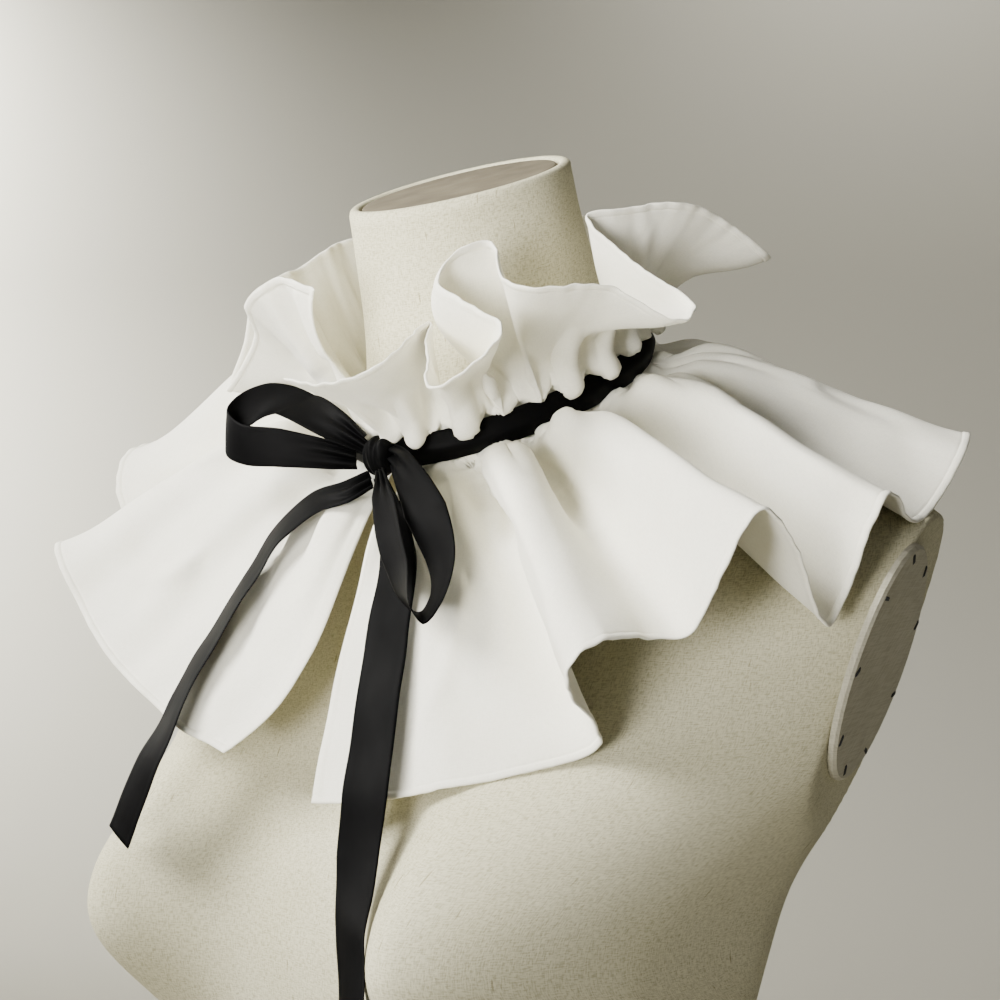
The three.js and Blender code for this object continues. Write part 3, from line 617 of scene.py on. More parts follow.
def threads(tree, vector, pitch, long, seed=0.0):
    """Fine uneven threads both ways: two noises, each drawn out along its threads."""
    parts = []
    for scale in ((1 / (pitch * MM), 1 / (long * MM), 1), (1 / (long * MM), 1 / (pitch * MM), 1)):
        mapping = tree.nodes.new("ShaderNodeMapping")
        mapping.inputs["Scale"].default_value = scale
        mapping.inputs["Location"].default_value = (seed, seed, 0)
        tree.links.new(vector, mapping.inputs["Vector"])
        noise = tree.nodes.new("ShaderNodeTexNoise")
        noise.inputs["Scale"].default_value = 1
        noise.inputs["Detail"].default_value = 1
        tree.links.new(mapping.outputs["Vector"], noise.inputs["Vector"])
        parts.append(noise.outputs["Fac"])
    add = tree.nodes.new("ShaderNodeMath")
    add.operation = "ADD"
    tree.links.new(parts[0], add.inputs[0])
    tree.links.new(parts[1], add.inputs[1])
    half = tree.nodes.new("ShaderNodeMath")
    half.operation = "MULTIPLY"
    half.inputs[1].default_value = 0.5
    tree.links.new(add.outputs[0], half.inputs[0])
    return half.outputs[0]


def bump(tree, bsdf, *layers):
    """Stacks (height, depth in mm, strength) layers into the shader's normal."""
    normal = None
    for height, depth, strength in layers:
        node = tree.nodes.new("ShaderNodeBump")
        node.inputs["Distance"].default_value = depth * MM
        node.inputs["Strength"].default_value = strength
        tree.links.new(height, node.inputs["Height"])
        if normal:
            tree.links.new(normal, node.inputs["Normal"])
        normal = node.outputs["Normal"]
    tree.links.new(normal, bsdf.inputs["Normal"])


def noise(tree, vector, scale, detail=3, stretch=(1, 1, 1)):
    mapping = tree.nodes.new("ShaderNodeMapping")
    mapping.inputs["Scale"].default_value = stretch
    tree.links.new(vector, mapping.inputs["Vector"])
    node = tree.nodes.new("ShaderNodeTexNoise")
    node.inputs["Scale"].default_value = scale
    node.inputs["Detail"].default_value = detail
    tree.links.new(mapping.outputs["Vector"], node.inputs["Vector"])
    return node.outputs["Fac"]


def ramp(tree, value, low, high, start=0.3, stop=0.7):
    node = tree.nodes.new("ShaderNodeValToRGB")
    node.color_ramp.elements[0].position = start
    node.color_ramp.elements[0].color = (*low, 1)
    node.color_ramp.elements[1].position = stop
    node.color_ramp.elements[1].color = (*high, 1)
    tree.links.new(value, node.inputs["Fac"])
    return node.outputs["Color"]


def times(tree, first, second, factor=1.0):
    mix = tree.nodes.new("ShaderNodeMix")
    mix.data_type = "RGBA"
    mix.blend_type = "MULTIPLY"
    mix.inputs["Factor"].default_value = factor
    tree.links.new(first, mix.inputs[6])
    tree.links.new(second, mix.inputs[7])
    return mix.outputs[2]


def uv_of(tree):
    return tree.nodes.new("ShaderNodeTexCoord").outputs["UV"]


def cotton_material():
    material, tree, bsdf = principled("cotton_poplin")
    uv = uv_of(tree)
    weave = threads(tree, uv, *COTTON_WEAVE)
    wrinkles = noise(tree, uv, 45, 4, (1, 0.5, 1))
    soft = ramp(tree, noise(tree, uv, 40, 4), *COTTON_TONES)
    grain = ramp(tree, weave, (0.93, 0.93, 0.92), (1, 1, 1), 0.35, 0.6)
    tree.links.new(times(tree, soft, grain), bsdf.inputs["Base Color"])
    bump(tree, bsdf, (wrinkles, 1.4, 0.25), (weave, 0.12, 0.5))
    bsdf.inputs["Roughness"].default_value = 0.85
    bsdf.inputs["Specular IOR Level"].default_value = 0.25
    bsdf.inputs["Sheen Weight"].default_value = 0.12
    bsdf.inputs["Subsurface Weight"].default_value = 0.1
    bsdf.inputs["Subsurface Radius"].default_value = (0.004, 0.0036, 0.003)
    bsdf.inputs["Subsurface Scale"].default_value = 1.0
    return material


def linen_material():
    material, tree, bsdf = principled("linen_canvas")
    uv = uv_of(tree)
    weave = threads(tree, uv, *LINEN_WEAVE)
    coarse = threads(tree, uv, *LINEN_COARSE_WEAVE, seed=7.0)
    slubs = ramp(tree, noise(tree, uv, 1, 1, (620, 75, 1)), (1, 1, 1), (0.6, 0.58, 0.52), 0.72, 0.78)
    soft = ramp(tree, noise(tree, uv, 22, 3), *LINEN_TONES)
    fine = ramp(tree, weave, (0.66, 0.65, 0.61), (1.0, 1.0, 1.0), 0.36, 0.56)
    broad = ramp(tree, coarse, (0.95, 0.95, 0.94), (1.0, 1.0, 1.0), 0.38, 0.6)
    colour = times(tree, times(tree, soft, fine), times(tree, broad, slubs))
    tree.links.new(colour, bsdf.inputs["Base Color"])
    bump(tree, bsdf, (coarse, 0.25, 0.4), (weave, 0.3, 0.7))
    bsdf.inputs["Roughness"].default_value = 0.95
    bsdf.inputs["Specular IOR Level"].default_value = 0.15
    return material


def board_material():
    material, tree, bsdf = principled("covered_board")
    place_in = tree.nodes.new("ShaderNodeTexCoord").outputs["Object"]
    tone = ramp(tree, noise(tree, place_in, 60), *BOARD_TONES)
    tree.links.new(tone, bsdf.inputs["Base Color"])
    bump(tree, bsdf, (noise(tree, place_in, 900), 0.2, 0.5))
    bsdf.inputs["Roughness"].default_value = 0.9
    return material


def plate_material():
    material, tree, bsdf = principled("linen_on_board")
    place_in = tree.nodes.new("ShaderNodeTexCoord").outputs["Object"]
    swung = tree.nodes.new("ShaderNodeMapping")
    swung.inputs["Rotation"].default_value = (math.radians(90), 0, math.radians(90))
    tree.links.new(place_in, swung.inputs["Vector"])
    weave = threads(tree, swung.outputs["Vector"], *PLATE_WEAVE, seed=3.0)
    soft = ramp(tree, noise(tree, place_in, 22), *PLATE_TONES)
    fine = ramp(tree, weave, (0.8, 0.79, 0.76), (1.0, 1.0, 1.0), 0.36, 0.58)
    tree.links.new(times(tree, soft, fine), bsdf.inputs["Base Color"])
    bump(tree, bsdf, (weave, 0.3, 0.7))
    bsdf.inputs["Roughness"].default_value = 0.95
    bsdf.inputs["Specular IOR Level"].default_value = 0.15
    return material


def satin_material():
    material, tree, bsdf = principled("black_satin")
    uv = uv_of(tree)
    weave = threads(tree, uv, *SATIN_WEAVE)
    tone = ramp(tree, noise(tree, uv, 80), *SATIN_TONES)
    tree.links.new(tone, bsdf.inputs["Base Color"])
    sheen = ramp(tree, noise(tree, uv, 60, 2, (0.4, 1, 1)), (0.5, 0.5, 0.5), (0.6, 0.6, 0.6))
    tree.links.new(sheen, bsdf.inputs["Roughness"])
    bump(tree, bsdf, (noise(tree, uv, 120, 3, (0.5, 1, 1)), 0.5, 0.25), (weave, 0.05, 0.4))
    bsdf.inputs["Specular IOR Level"].default_value = 0.035
    return material


def plain_material(name, colour, roughness):
    material, _, bsdf = principled(name)
    bsdf.inputs["Base Color"].default_value = (*colour, 1)
    bsdf.inputs["Roughness"].default_value = roughness
    return material


# The frills

def mm_rows(deep, middle):
    """Shares of a frill's length, close together at the ribbon and at the hem."""
    near = np.linspace(0, NEAR_RIBBON, NEAR_RIBBON_ROWS + 1)[:-1]
    between = np.linspace(NEAR_RIBBON, deep - NEAR_HEM, middle)[:-1]
    far = np.linspace(deep - NEAR_HEM, deep, NEAR_HEM_ROWS)
    return np.concatenate([near, between, far]) / deep


def neck_columns(folds, count):
    """Places round the neck, close together at the two front edges."""
    first, last = folds[0][0], folds[-1][0]
    edge = np.linspace(0, FRONT_EDGE, FRONT_EDGE_COLUMNS + 1)[:-1]
    between = np.linspace(first + FRONT_EDGE, last - FRONT_EDGE, count)
    return np.concatenate([first + edge, between, last - edge[::-1]])


def frill_grid(folds, neck, shares, deep, side):
    """The cloth's middle surface at each place round the neck and share of its length."""
    table = {name: [row[k] for row in folds] for k, name in enumerate(FOLD_COLUMNS)}
    value = {name: table_value(table["neck"], table[name], neck) for name in FOLD_COLUMNS}
    turn = 2 * math.pi * GATHERS * neck / 360 + GATHER_DRIFT * np.sin(neck * GATHER_DRIFT_RATE)
    uneven = 1
    for part, rate, phase in GATHER_UNEVEN:
        uneven = uneven + part * np.sin(neck * rate + phase * side)
    gather = GATHER_DEPTH * uneven * (np.sin(turn) - GATHER_SHARPNESS * np.cos(2 * turn))
    puff = (0.5 + 0.5 * np.sin(turn)) ** PUFF_ROUND * (PUFF_LEAST + (1 - PUFF_LEAST) * uneven)
    hem = around_neck(value["hem"], value["reach"], value["rise"])
    root = on_ring(neck, gather, side * CUFF)
    outward = unit(on_ring(neck, 1.0, 0.0) - on_ring(neck, 0.0, 0.0))
    chord = hem - root
    along = unit(chord)
    bow = unit(NECK_UP - along * (along @ NECK_UP)[:, None])
    sideways = np.cross(bow, along)
    pleats = [on_ring(neck, gather, side * SEAM_GAP / 2)]
    pleats += [on_ring(neck, gather, side * CUFF * part) for part in CUFF_ROWS]
    swell, droop = (STAND_SWELL, STAND_DROOP) if side > 0 else (CAPE_SWELL, CAPE_DROOP)
    for share in shares:
        free = smooth_step(share, HUG, HUG + SETTLE)
        lift = value["lift"] * free * HUMP * share * (1 - share) ** 2
        fade = max(0, 1 - share / GATHER_FADE) ** 2
        ripple = -side * GATHER_SWELL * gather * fade * free * share
        sway = value["sway"] * HUMP * share**2 * (1 - share)
        point = root + chord * share + bow * (lift + ripple)[:, None] + sideways * sway[:, None]
        bulge = math.exp(-(((share * deep - PUFF_AT) / PUFF_LONG) ** 2))
        lobe = (puff * bulge)[:, None]
        pleats.append(point + outward * (swell * lobe) - NECK_UP * (side * droop * lobe))
    return np.stack(pleats, 1)


def crease_relief(grid, neck, share, creases):
    """Listed troughs and ridges, as heights in mm over the grid."""
    relief = np.zeros(grid.shape[:2])
    for row in creases:
        crease = dict(zip(CREASE_COLUMNS, row))
        steps = np.linspace(0, 1, CREASE_STEPS)
        swing = crease["bend"] * np.sin(math.pi * steps)
        at_neck = crease["neck"] + (crease["to_neck"] - crease["neck"]) * steps + swing
        at_share = crease["share"] + (crease["to_share"] - crease["share"]) * steps
        i = np.interp(at_neck, neck, np.arange(len(neck)))
        j = np.interp(at_share, share, np.arange(len(share)))
        line = grid[i.round().astype(int), j.round().astype(int)]
        low, high = max(int(i.min()) - CREASE_SPAN, 0), int(i.max()) + CREASE_SPAN
        patch = grid[low:high]
        apart = np.linalg.norm(patch[:, :, None] - line, axis=-1)
        nearest = apart.argmin(-1)
        distance = apart.min(-1)
        begin = np.sqrt(np.clip(steps / CREASE_START, 0, 1))
        taper = begin * np.cos(math.pi / 2 * steps) ** CREASE_END
        across = np.exp(-((distance / crease["wide"]) ** 2))
        relief[low:high] += crease["height"] * across * taper[nearest]
    return relief


def frill(name, folds, creases, count, middle, deep, side, material):
    neck = neck_columns(folds, count)
    shares = mm_rows(deep, middle)
    grid = frill_grid(folds, neck, shares, deep, side)
    share = np.concatenate([CUFF_SHARES, shares])
    length = run_along(grid[len(neck) // 3])
    width = run_along(grid[:, -1])
    uv = np.stack(np.meshgrid(width, length, indexing="ij"), -1)
    settle = smooth_step(share, *SETTLED)[None, :]
    relief = waves(uv, FAN_WAVES, side) * settle + waves(uv, SOFT_WAVES, side) * settle
    relief = relief + crease_relief(grid, neck, share, creases)
    from_hem = length[-1] - uv[..., 1]
    from_front = np.minimum(uv[..., 0], width[-1] - uv[..., 0])
    at_hem = 1 - smooth_step(from_hem, HEM_WIDTH - HEM_STEP[0], HEM_WIDTH + HEM_STEP[1])
    at_front = 1 - smooth_step(from_front, FRONT_HEM_WIDTH - FRONT_HEM_STEP, FRONT_HEM_WIDTH)
    rolled = np.maximum(at_hem, at_front * settle)
    slack = np.exp(-from_hem / HEM_SLACK)
    relief = relief + waves(uv, HEM_WAVES, side) * slack
    from_stitch = from_hem - HEM_WIDTH - HEM_STITCH_WIDE
    relief = relief - HEM_STITCH_DEEP * np.exp(-((from_stitch / HEM_STITCH_WIDE) ** 2))
    grid = grid + grid_normals(grid) * (side * relief)[..., None]
    round_off = np.sqrt(np.clip(np.minimum(from_hem, from_front) / EDGE_ROUND, EDGE_LEAST, 1))
    thick = (COTTON_THICK + (HEM_THICK - COTTON_THICK) * rolled) * round_off
    if side < 0:
        grid, thick, uv = grid[:, ::-1], thick[:, ::-1], uv[:, ::-1]
    return shell(name, grid, thick, uv, material), width[-1], length[-1]


# The form

def plate_x(y, z):
    lean = math.radians(PLATE_LEAN)
    turn = math.radians(PLATE_TURN)
    return (PLATE_REACH + math.sin(lean) * z) / math.cos(lean) - math.tan(turn) * (y - PLATE_BACK)


def form_angles():
    """Angles round the form from its front, finer at the centre-back seam."""
    even = np.arange(FORM_SEGMENTS) * 2 * math.pi / FORM_SEGMENTS
    away = np.abs(even - math.pi)
    clear = even[away > math.radians(SEAM_FINE_ANGLES[-1]) * SEAM_CLEAR]
    close = math.pi + np.radians(SEAM_FINE_ANGLES)
    return np.sort(np.concatenate([clear, close, 2 * math.pi - close[1:]]))


def form_ring(section, angle, inset=0.0, drop=0.0):
    c, s = np.cos(angle), np.sin(angle)
    power = 2 / section["square"]
    lean = math.radians(section["tilt"])
    x = (section["half"] - inset) * np.sign(s) * np.abs(s) ** power
    deep = np.where(c > 0, section["front"], section["rear"]) - inset
    depth = deep * np.sign(c) * np.abs(c) ** power
    y = section["back"] - depth * math.cos(lean)
    z = section["up"] - depth * math.sin(lean)
    z = z - NECK_LEAN * x * smooth_step(section["up"], NECK_LEAN_FROM, FORM_SECTIONS[0][1])
    past = np.abs(x) - BUST_APEX["x"]
    aside = past / np.where(past < 0, BUST_APEX["inward"], BUST_APEX["outward"])
    higher = z - BUST_APEX["up"]
    upright = higher / np.where(higher > 0, BUST_APEX["above"], BUST_APEX["below"])
    bust = BUST_APEX["forward"] * np.exp(-(aside**2 + upright**2)) * smooth_step(c, 0, BUST_BLEND)
    y = y - np.where(c > 0, bust, 0)
    y = y + SHOULDER_SWEEP * (x / SHOULDER_TIP) ** 2
    widest = np.where(z > PLATE_LOWEST, plate_x(y, z), OUT_OF_REACH)
    x = np.clip(x, -widest, widest)
    down = drop * np.array([0, math.sin(lean), -math.cos(lean)])
    return np.stack([x, y, z], 1) + CENTRE + down


def torso(material):
    rows = [dict(zip(SECTION_COLUMNS, row)) for row in FORM_SECTIONS]
    heights = [-row["up"] for row in rows]
    spread = np.linspace(0, len(rows) - 1, FORM_RINGS)
    levels = np.interp(spread, np.arange(len(rows)), heights)
    angle = form_angles()
    top = rows[0]
    rings = [form_ring(top, angle, NECK_RIM, CAP_RECESS)]
    for turn in np.radians(np.linspace(180, 0, RIM_STEPS)):
        inset = NECK_RIM / 2 * (1 - math.cos(turn))
        drop = RIM_HIGH * (1 - math.sin(turn))
        rings.append(form_ring(top, angle, inset, drop))
    for level in levels[1:]:
        section = {}
        for name in SECTION_COLUMNS:
            section[name] = float(table_value(heights, [row[name] for row in rows], level))
        rings.append(form_ring(section, angle))
    rings[-1] = rings[-1] + [0, 0, BASE_ROUND]
    for turn in np.radians(np.linspace(0, 90, ROUND_STEPS)[1:]):
        inset = BASE_ROUND * (1 - math.cos(turn))
        rings.append(form_ring(rows[-1], angle, inset) + [0, 0, BASE_ROUND * (1 - math.sin(turn))])
    grid = np.stack(rings)
    grid[..., 2] = np.maximum(grid[..., 2], 0)
    steps = np.linalg.norm(np.roll(grid, -1, axis=1) - grid, axis=-1)
    around = np.concatenate([np.zeros((len(grid), 1)), np.cumsum(steps, axis=1)], 1)
    down = np.concatenate([[0], np.cumsum(np.linalg.norm(np.diff(grid, axis=0), axis=-1).mean(1))])
    from_back = np.abs(around[:, :-1] - around[:, np.argmin(np.abs(angle - math.pi))][:, None])
    seam = np.exp(-((from_back / SEAM_HALF_WIDTH) ** 2)) * smooth_step(down, *SEAM_FADES_IN)[:, None]
    inward = unit(grid.mean(1, keepdims=True) - grid) * [1, 1, 0]
    grid = grid + inward * (SEAM_DEPTH * seam)[..., None]
    count = len(angle)
    at = np.arange(len(grid) * count).reshape(len(grid), count)
    after = np.roll(at, -1, axis=1)
    sides = np.stack([at[:-1], at[1:], after[1:], after[:-1]], -1).reshape(-1, 4).tolist()
    faces = sides + [at[0].tolist(), at[-1][::-1].tolist()]
    signed = np.where(angle > math.pi, around[:, :-1] - around[:, -1:], around[:, :-1])
    uv = np.stack([signed, np.broadcast_to(down[:, None], signed.shape)], -1).reshape(-1, 2)
    obj = new_object("linen_torso", grid.reshape(-1, 3), faces, uv, material)
    for polygon in list(obj.data.polygons)[-2:]:
        polygon.use_smooth = False
    return obj


def neck_cap(material):
    """The board disc let into the top of the neck."""
    top = dict(zip(SECTION_COLUMNS, FORM_SECTIONS[0]))
    angle = np.arange(FORM_SEGMENTS) * 2 * math.pi / FORM_SEGMENTS
    edge = NECK_RIM + CAP_CLEAR
    floor = CAP_RECESS - SEAM_GAP
    rings = [form_ring(top, angle, edge, floor)]
    face = floor - CAP_THICK
    for turn in np.radians(np.linspace(0, 90, ROUND_STEPS)):
        inset = edge + CAP_BEVEL * (1 - math.cos(turn))
        rings.append(form_ring(top, angle, inset, face + CAP_BEVEL * (1 - math.sin(turn))))
    for inset in np.linspace(edge + CAP_BEVEL, top["half"] - CAP_HOLE, CAP_RINGS)[1:]:
        rings.append(form_ring(top, angle, inset, face))
    grid = np.stack(rings)
    count = len(angle)
    dent = waves(grid[..., :2], CAP_WAVES)
    flat = smooth_step(np.arange(len(grid)), ROUND_STEPS, 2 * ROUND_STEPS)
    grid[..., 2] += dent * flat[:, None]
    at = np.arange(len(grid) * count).reshape(len(grid), count)
    after = np.roll(at, -1, axis=1)
    faces = np.stack([at[1:], at[:-1], after[:-1], after[1:]], -1).reshape(-1, 4).tolist()
    faces += [at[0][::-1].tolist(), at[-1].tolist()]
    obj = new_object("neck_cap", grid.reshape(-1, 3), faces, grid[..., :2].reshape(-1, 2), material)
    weld(obj)
    return obj


def plate_slot_shades(name, side, material):
    """Short dark marks slanting across an arm plate's edge: painted shade where the plate has slots."""
    lean, turn = math.radians(PLATE_LEAN), math.radians(PLATE_TURN)
    out_way = unit(np.array([math.cos(lean), math.tan(turn) * math.cos(lean), -math.sin(lean)]))
    points, faces, uv = [], [], []
    for k in range(SLOT_SHADES):
        angle = 2 * math.pi * (k + 0.5) / SLOT_SHADES
        rim = np.array([math.cos(angle) * PLATE_HALF_WIDTH, math.sin(angle) * PLATE_HALF_HEIGHT])
        middle = rim * SLOT_SHADE_CIRCLE
        slant = angle + math.radians(SLOT_SHADE_SLANT)
        long = np.array([math.cos(slant), math.sin(slant)]) * SLOT_SHADE_LONG / 2
        wide = np.array([-math.sin(slant), math.cos(slant)]) * SLOT_SHADE_WIDE / 2
        start = len(points)
        for out in (PLATE_FACE, PLATE_FACE + SLOT_SHADE_THICK):
            shrink = 1.0 if out == PLATE_FACE else SLOT_SHADE_TAPER
            for a, b in ((-1, -1), (1, -1), (1, 1), (-1, 1)):
                y, up = middle + (long * a + wide * b) * shrink
                y, z = PLATE_BACK + y, PLATE_HEIGHT + up
                spot = np.array([plate_x(y, z), y, z]) + out_way * out
                points.append(spot * [side, 1, 1] + CENTRE)
                uv.append((y, z))
        quads = [(0, 3, 2, 1), (4, 5, 6, 7), (0, 1, 5, 4), (1, 2, 6, 5), (2, 3, 7, 6), (3, 0, 4, 7)]
        faces += [tuple(start + n for n in (quad if side > 0 else quad[::-1])) for quad in quads]
    return new_object(name, points, faces, uv, material)


# The ribbon

def bow_place(spot):
    left, up, out = spot
    return np.array([left, -out, up], float)


def catmull(points, share):
    """Centripetal Catmull-Rom through points, as the solids have it."""
    count = len(points) - 1
    place = share * count
    k = min(int(place), count - 1)
    t = place - k
    p1, p2 = points[k], points[k + 1]
    p0 = points[k - 1] if k > 0 else 2 * p1 - p2
    p3 = points[k + 2] if k + 2 <= count else 2 * p2 - p1
    d0, d1, d2 = (max(np.linalg.norm(b - a) ** 0.5, 1e-4) for a, b in ((p0, p1), (p1, p2), (p2, p3)))
    m1 = ((p1 - p0) / d0 - (p2 - p0) / (d0 + d1) + (p2 - p1) / d1) * d1
    m2 = ((p2 - p1) / d1 - (p3 - p1) / (d1 + d2) + (p3 - p2) / d2) * d1
    t2, t3 = t * t, t * t * t
    return (2 * t3 - 3 * t2 + 1) * p1 + (t3 - 2 * t2 + t) * m1 + (3 * t2 - 2 * t3) * p2 + (t3 - t2) * m2


def bow_ribbon(name, stations, material, seed, free_end):
    steps, rows = BOW_STEPS, BOW_ROWS
    knot = on_ring(0.0, RIBBON_STANDS_OFF + KNOT_OUT, 0.0)
    centres = [bow_place(at) + knot for at, _, _ in stations]
    columns = (len(stations) - 1) * steps + 1
    grid = np.empty((columns, rows, 3))
    across_at = np.linspace(-0.5, 0.5, rows)
    widths = np.empty(columns)
    for i in range(columns):
        k = min(i // steps, len(stations) - 2)
        share = i / steps - k
        (_, way, wide), (_, next_way, next_wide) = stations[k : k + 2]
        across = unit(bow_place(way)) * (1 - share) + unit(bow_place(next_way)) * share
        widths[i] = wide * (1 - share) + next_wide * share
        centre = catmull(centres, i / (columns - 1))
        grid[i] = centre + across_at[:, None] * widths[i] * unit(across)
    length = run_along(grid[:, rows // 2])
    uv = np.stack(np.meshgrid(length, across_at * RIBBON_WIDE, indexing="ij"), -1)
    from_knot = length if free_end else np.minimum(length, length[-1] - length)
    drawn_in = np.exp(-((from_knot / PLEAT_REACH) ** 2))[:, None]
    pitch = widths[:, None] / PLEATS
    slack = np.sqrt(np.maximum((RIBBON_WIDE / widths[:, None]) ** 2 - 1, 0))
    pleated = np.cos(across_at * 2 * math.pi * PLEATS + seed)[None, :]
    pleat = PLEAT_DEPTH * pitch * slack * drawn_in * pleated
    cup = (RIBBON_CUP * (1 - (2 * across_at) ** 2))[None, :] * (1 - drawn_in)
    relief = cup + waves(uv, RIBBON_WAVES, seed) * (1 - drawn_in)
    grid = grid + grid_normals(grid) * (pleat + relief)[..., None]
    thick = np.full(grid.shape[:2], SATIN_THICK)
    thick[:, [0, -1]] = SATIN_RIM_THICK
    thick[:, [1, 2, -3, -2]] = SATIN_EDGE_THICK
    return shell(name, grid, thick, uv, material), length[-1]


def neck_band(material):
    rows = BAND_ROWS
    degrees = np.linspace(BAND_END, 360 - BAND_END, BAND_COLUMNS)
    across_at = np.linspace(-0.5, 0.5, rows)
    turn = np.radians(degrees)
    drift = sum(size * np.sin(turns * turn) for size, turns in BAND_DRIFT)[:, None]
    creases = BAND_CREASE_DEPTH * np.sin(across_at[None, :] * BAND_CREASE_RATE + drift) - BAND_SUNK
    bulge = BAND_BULGE * (1 - (2 * across_at[None, :]) ** 2)
    out = RIBBON_STANDS_OFF + creases + bulge
    rise = across_at * RIBBON_WIDTH_ROUND_NECK
    grid = np.stack([on_ring(degrees, out[:, j], rise[j]) for j in range(rows)], 1)
    length = run_along(grid[:, rows // 2])
    uv = np.stack(np.meshgrid(length, across_at * RIBBON_WIDE, indexing="ij"), -1)
    return shell("satin_band", grid, SATIN_THICK, uv, material), length[-1]


def knot_piece(material):
    """The wrap of ribbon round the bow's middle, with soft creases round it."""
    columns, rows = KNOT_COLUMNS, KNOT_ROWS
    centre = on_ring(0.0, RIBBON_STANDS_OFF + KNOT_OUT, KNOT_RISE)
    polar = np.linspace(0, math.pi, rows)[None, :]
    wrap = np.linspace(0, 2 * math.pi, columns, endpoint=False)[:, None]
    along = np.cos(polar)
    twist = KNOT_TWIST * np.sin(wrap + KNOT_TWIST_FROM)
    crease = KNOT_CREASE_DEPTH * np.cos(KNOT_CREASES * math.pi * along + twist)
    dent = KNOT_DENT["depth"] * np.exp(-((along - KNOT_DENT["at"]) ** 2 / KNOT_DENT["spread"]))
    dent = dent * (0.5 + 0.5 * np.cos(wrap - KNOT_DENT["turn"]))
    ball = np.sin(polar) ** KNOT_BLUNT * (1 + crease - dent)
    side = (KNOT_HALF_WIDTH + KNOT_SPARE) * along + KNOT_SLANT * np.sin(wrap)
    out = (KNOT_HALF_DEPTH + KNOT_SPARE) * ball * np.cos(wrap)
    rise = (KNOT_HALF_HEIGHT + KNOT_SPARE) * ball * np.sin(wrap)
    points = (centre + along_axes((side, ACROSS), (out, FORWARD), (rise, NECK_UP))).reshape(-1, 3)
    at = np.arange(columns * rows).reshape(columns, rows)
    after = np.roll(at, -1, axis=0)
    faces = np.stack([at[:, :-1], at[:, 1:], after[:, 1:], after[:, :-1]], -1).reshape(-1, 4).tolist()
    uv = np.stack(np.broadcast_arrays(wrap * 7, side), -1).reshape(-1, 2)
    obj = new_object("satin_knot", points, faces, uv, material)
    weld(obj)
    return obj


def weld(obj):
    """Joins points that lie at one place, such as a pole's."""
    mesh = bmesh.new()
    mesh.from_mesh(obj.data)
    bmesh.ops.remove_doubles(mesh, verts=mesh.verts, dist=1e-6)
    bmesh.ops.recalc_face_normals(mesh, faces=mesh.faces)
    mesh.to_mesh(obj.data)
    mesh.free()


# Stage, light and camera

def add_floor():
    """A plain floor that curves up into a backdrop behind the part."""
    material = plain_material("pale_floor", PALE_FLOOR, 0.95)
    profile = [(FLOOR_FRONT, 0.0)]
    for turn in np.radians(np.linspace(0, 90, FLOOR_CURVE_STEPS)):
        profile.append((FLOOR_BACK + FLOOR_CURVE * math.sin(turn), FLOOR_CURVE * (1 - math.cos(turn))))
    profile.append((FLOOR_BACK + FLOOR_CURVE, BACKDROP_HIGH))
    heading = Vector((VIEW_DIRECTION[0], VIEW_DIRECTION[1], 0)).normalized()
    aside = Vector((heading.y, -heading.x, 0))
    points = []
    for away, height in profile:
        for side in (-FLOOR_HALF, FLOOR_HALF):
            spot = heading * away + aside * side
            points.append((spot.x, spot.y, height - FLOOR_GAP))
    faces = [(2 * k, 2 * k + 1, 2 * k + 3, 2 * k + 2) for k in range(len(profile) - 1)]
    new_object("floor", points, faces, None, material)


def add_light(row):
    light = bpy.data.lights.new(row["name"], "AREA")
    light.shape = "DISK"
    light.size = row["size"]
    light.energy = row["power"]
    light.color = row["colour"]
    light.spread = math.radians(row["spread"])
    obj = bpy.data.objects.new(row["name"], light)
    obj.location = row["place"]
    heading = Vector(row["target"]) - Vector(row["place"])
    obj.rotation_euler = heading.to_track_quat("-Z", "Y").to_euler()
    bpy.context.scene.collection.objects.link(obj)


def add_camera():
    camera = bpy.data.cameras.new("camera")
    camera.angle = math.radians(FIELD_OF_VIEW)
    obj = bpy.data.objects.new("camera", camera)
    obj.location = CAMERA_PLACE
    obj.rotation_euler = Vector(VIEW_DIRECTION).to_track_quat("-Z", "Y").to_euler()
    bpy.context.scene.collection.objects.link(obj)
    bpy.context.scene.camera = obj


def add_lights():
    for row in LIGHTS:
        add_light(dict(zip(LIGHT_COLUMNS, row)))
    world = bpy.data.worlds.new("world")
    world.use_nodes = True
    world.node_tree.nodes["Background"].inputs["Color"].default_value = (*ROOM_LIGHT, 1)
    world.node_tree.nodes["Background"].inputs["Strength"].default_value = ROOM_STRENGTH
    bpy.context.scene.world = world


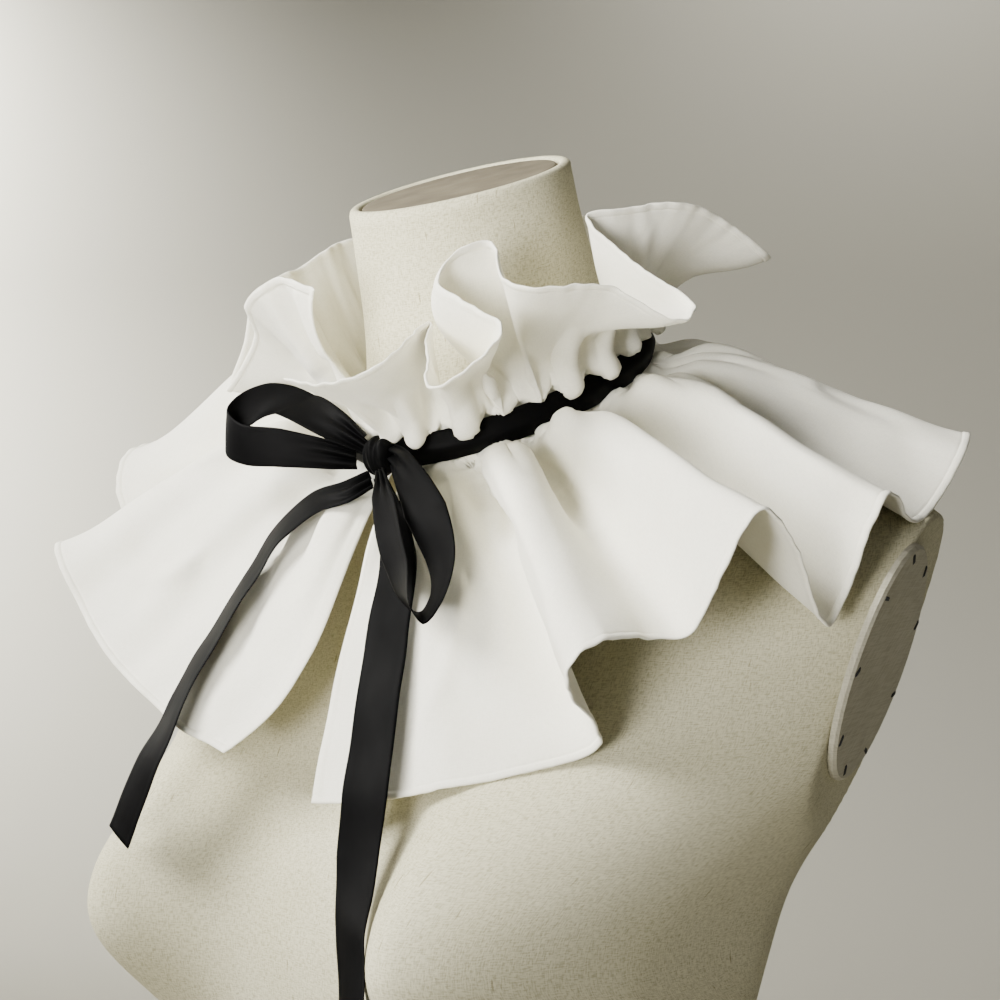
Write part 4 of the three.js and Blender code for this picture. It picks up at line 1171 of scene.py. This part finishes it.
def place(obj, node, slot):
    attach(obj, "root")
    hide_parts(node)


# The dressed model

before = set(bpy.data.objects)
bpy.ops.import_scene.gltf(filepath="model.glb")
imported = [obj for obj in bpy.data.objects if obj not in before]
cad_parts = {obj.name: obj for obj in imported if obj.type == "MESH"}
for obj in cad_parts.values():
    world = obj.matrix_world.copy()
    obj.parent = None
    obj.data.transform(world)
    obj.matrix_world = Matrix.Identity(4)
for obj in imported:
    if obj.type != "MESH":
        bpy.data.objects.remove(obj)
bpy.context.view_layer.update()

cotton = cotton_material()
linen = linen_material()
board = board_material()
satin = satin_material()
plate = plate_material()
# Painted shade: near-black material for the marks in the arm plates' slots
painted_slot_shade = plain_material("painted_slot_shade", SLOT_SHADE_DARK, 0.8)

body = torso(linen)
place(body, "form_torso", "linen")
cap = neck_cap(board)
place(cap, "form_neck_cap", "board")
for node in ("form_arm_plate_left", "form_arm_plate_right"):
    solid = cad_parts[node]
    for k in range(len(solid.material_slots)):
        solid.material_slots[k].material = plate

# Dark marks on both arm plates' edges: painted shade where the plates have slots
for name, side in (("plate_slot_shades_left", 1), ("plate_slot_shades_right", -1)):
    slot_shades = plate_slot_shades(name, side, painted_slot_shade)
    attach(slot_shades, "root")

stand, stand_long, stand_deep = frill(
    "cotton_stand_frill", STAND_FOLDS, STAND_CREASES, STAND_COLUMNS, STAND_ROWS, STAND_DEEP, 1, cotton
)
place(stand, "stand_frill", "cotton")
cape, cape_long, cape_deep = frill(
    "cotton_cape_frill", CAPE_FOLDS, CAPE_CREASES, CAPE_COLUMNS, CAPE_ROWS, CAPE_DEEP, -1, cotton
)
place(cape, "cape_frill", "cotton")

band, band_long = neck_band(satin)
place(band, "ribbon_band", "satin")
knot = knot_piece(satin)
place(knot, "ribbon_knot", "satin")
for name, stations, seed, free_end in (
    ("ribbon_loop_left", LEFT_LOOP, 3, False),
    ("ribbon_loop_right", RIGHT_LOOP, 4, False),
    ("ribbon_tail_left", LEFT_TAIL, 5, True),
    ("ribbon_tail_right", RIGHT_TAIL, 6, True),
):
    ribbon, long = bow_ribbon(name.replace("ribbon", "satin"), stations, satin, seed, free_end)
    place(ribbon, name, "satin")

add_floor()
add_lights()
add_camera()
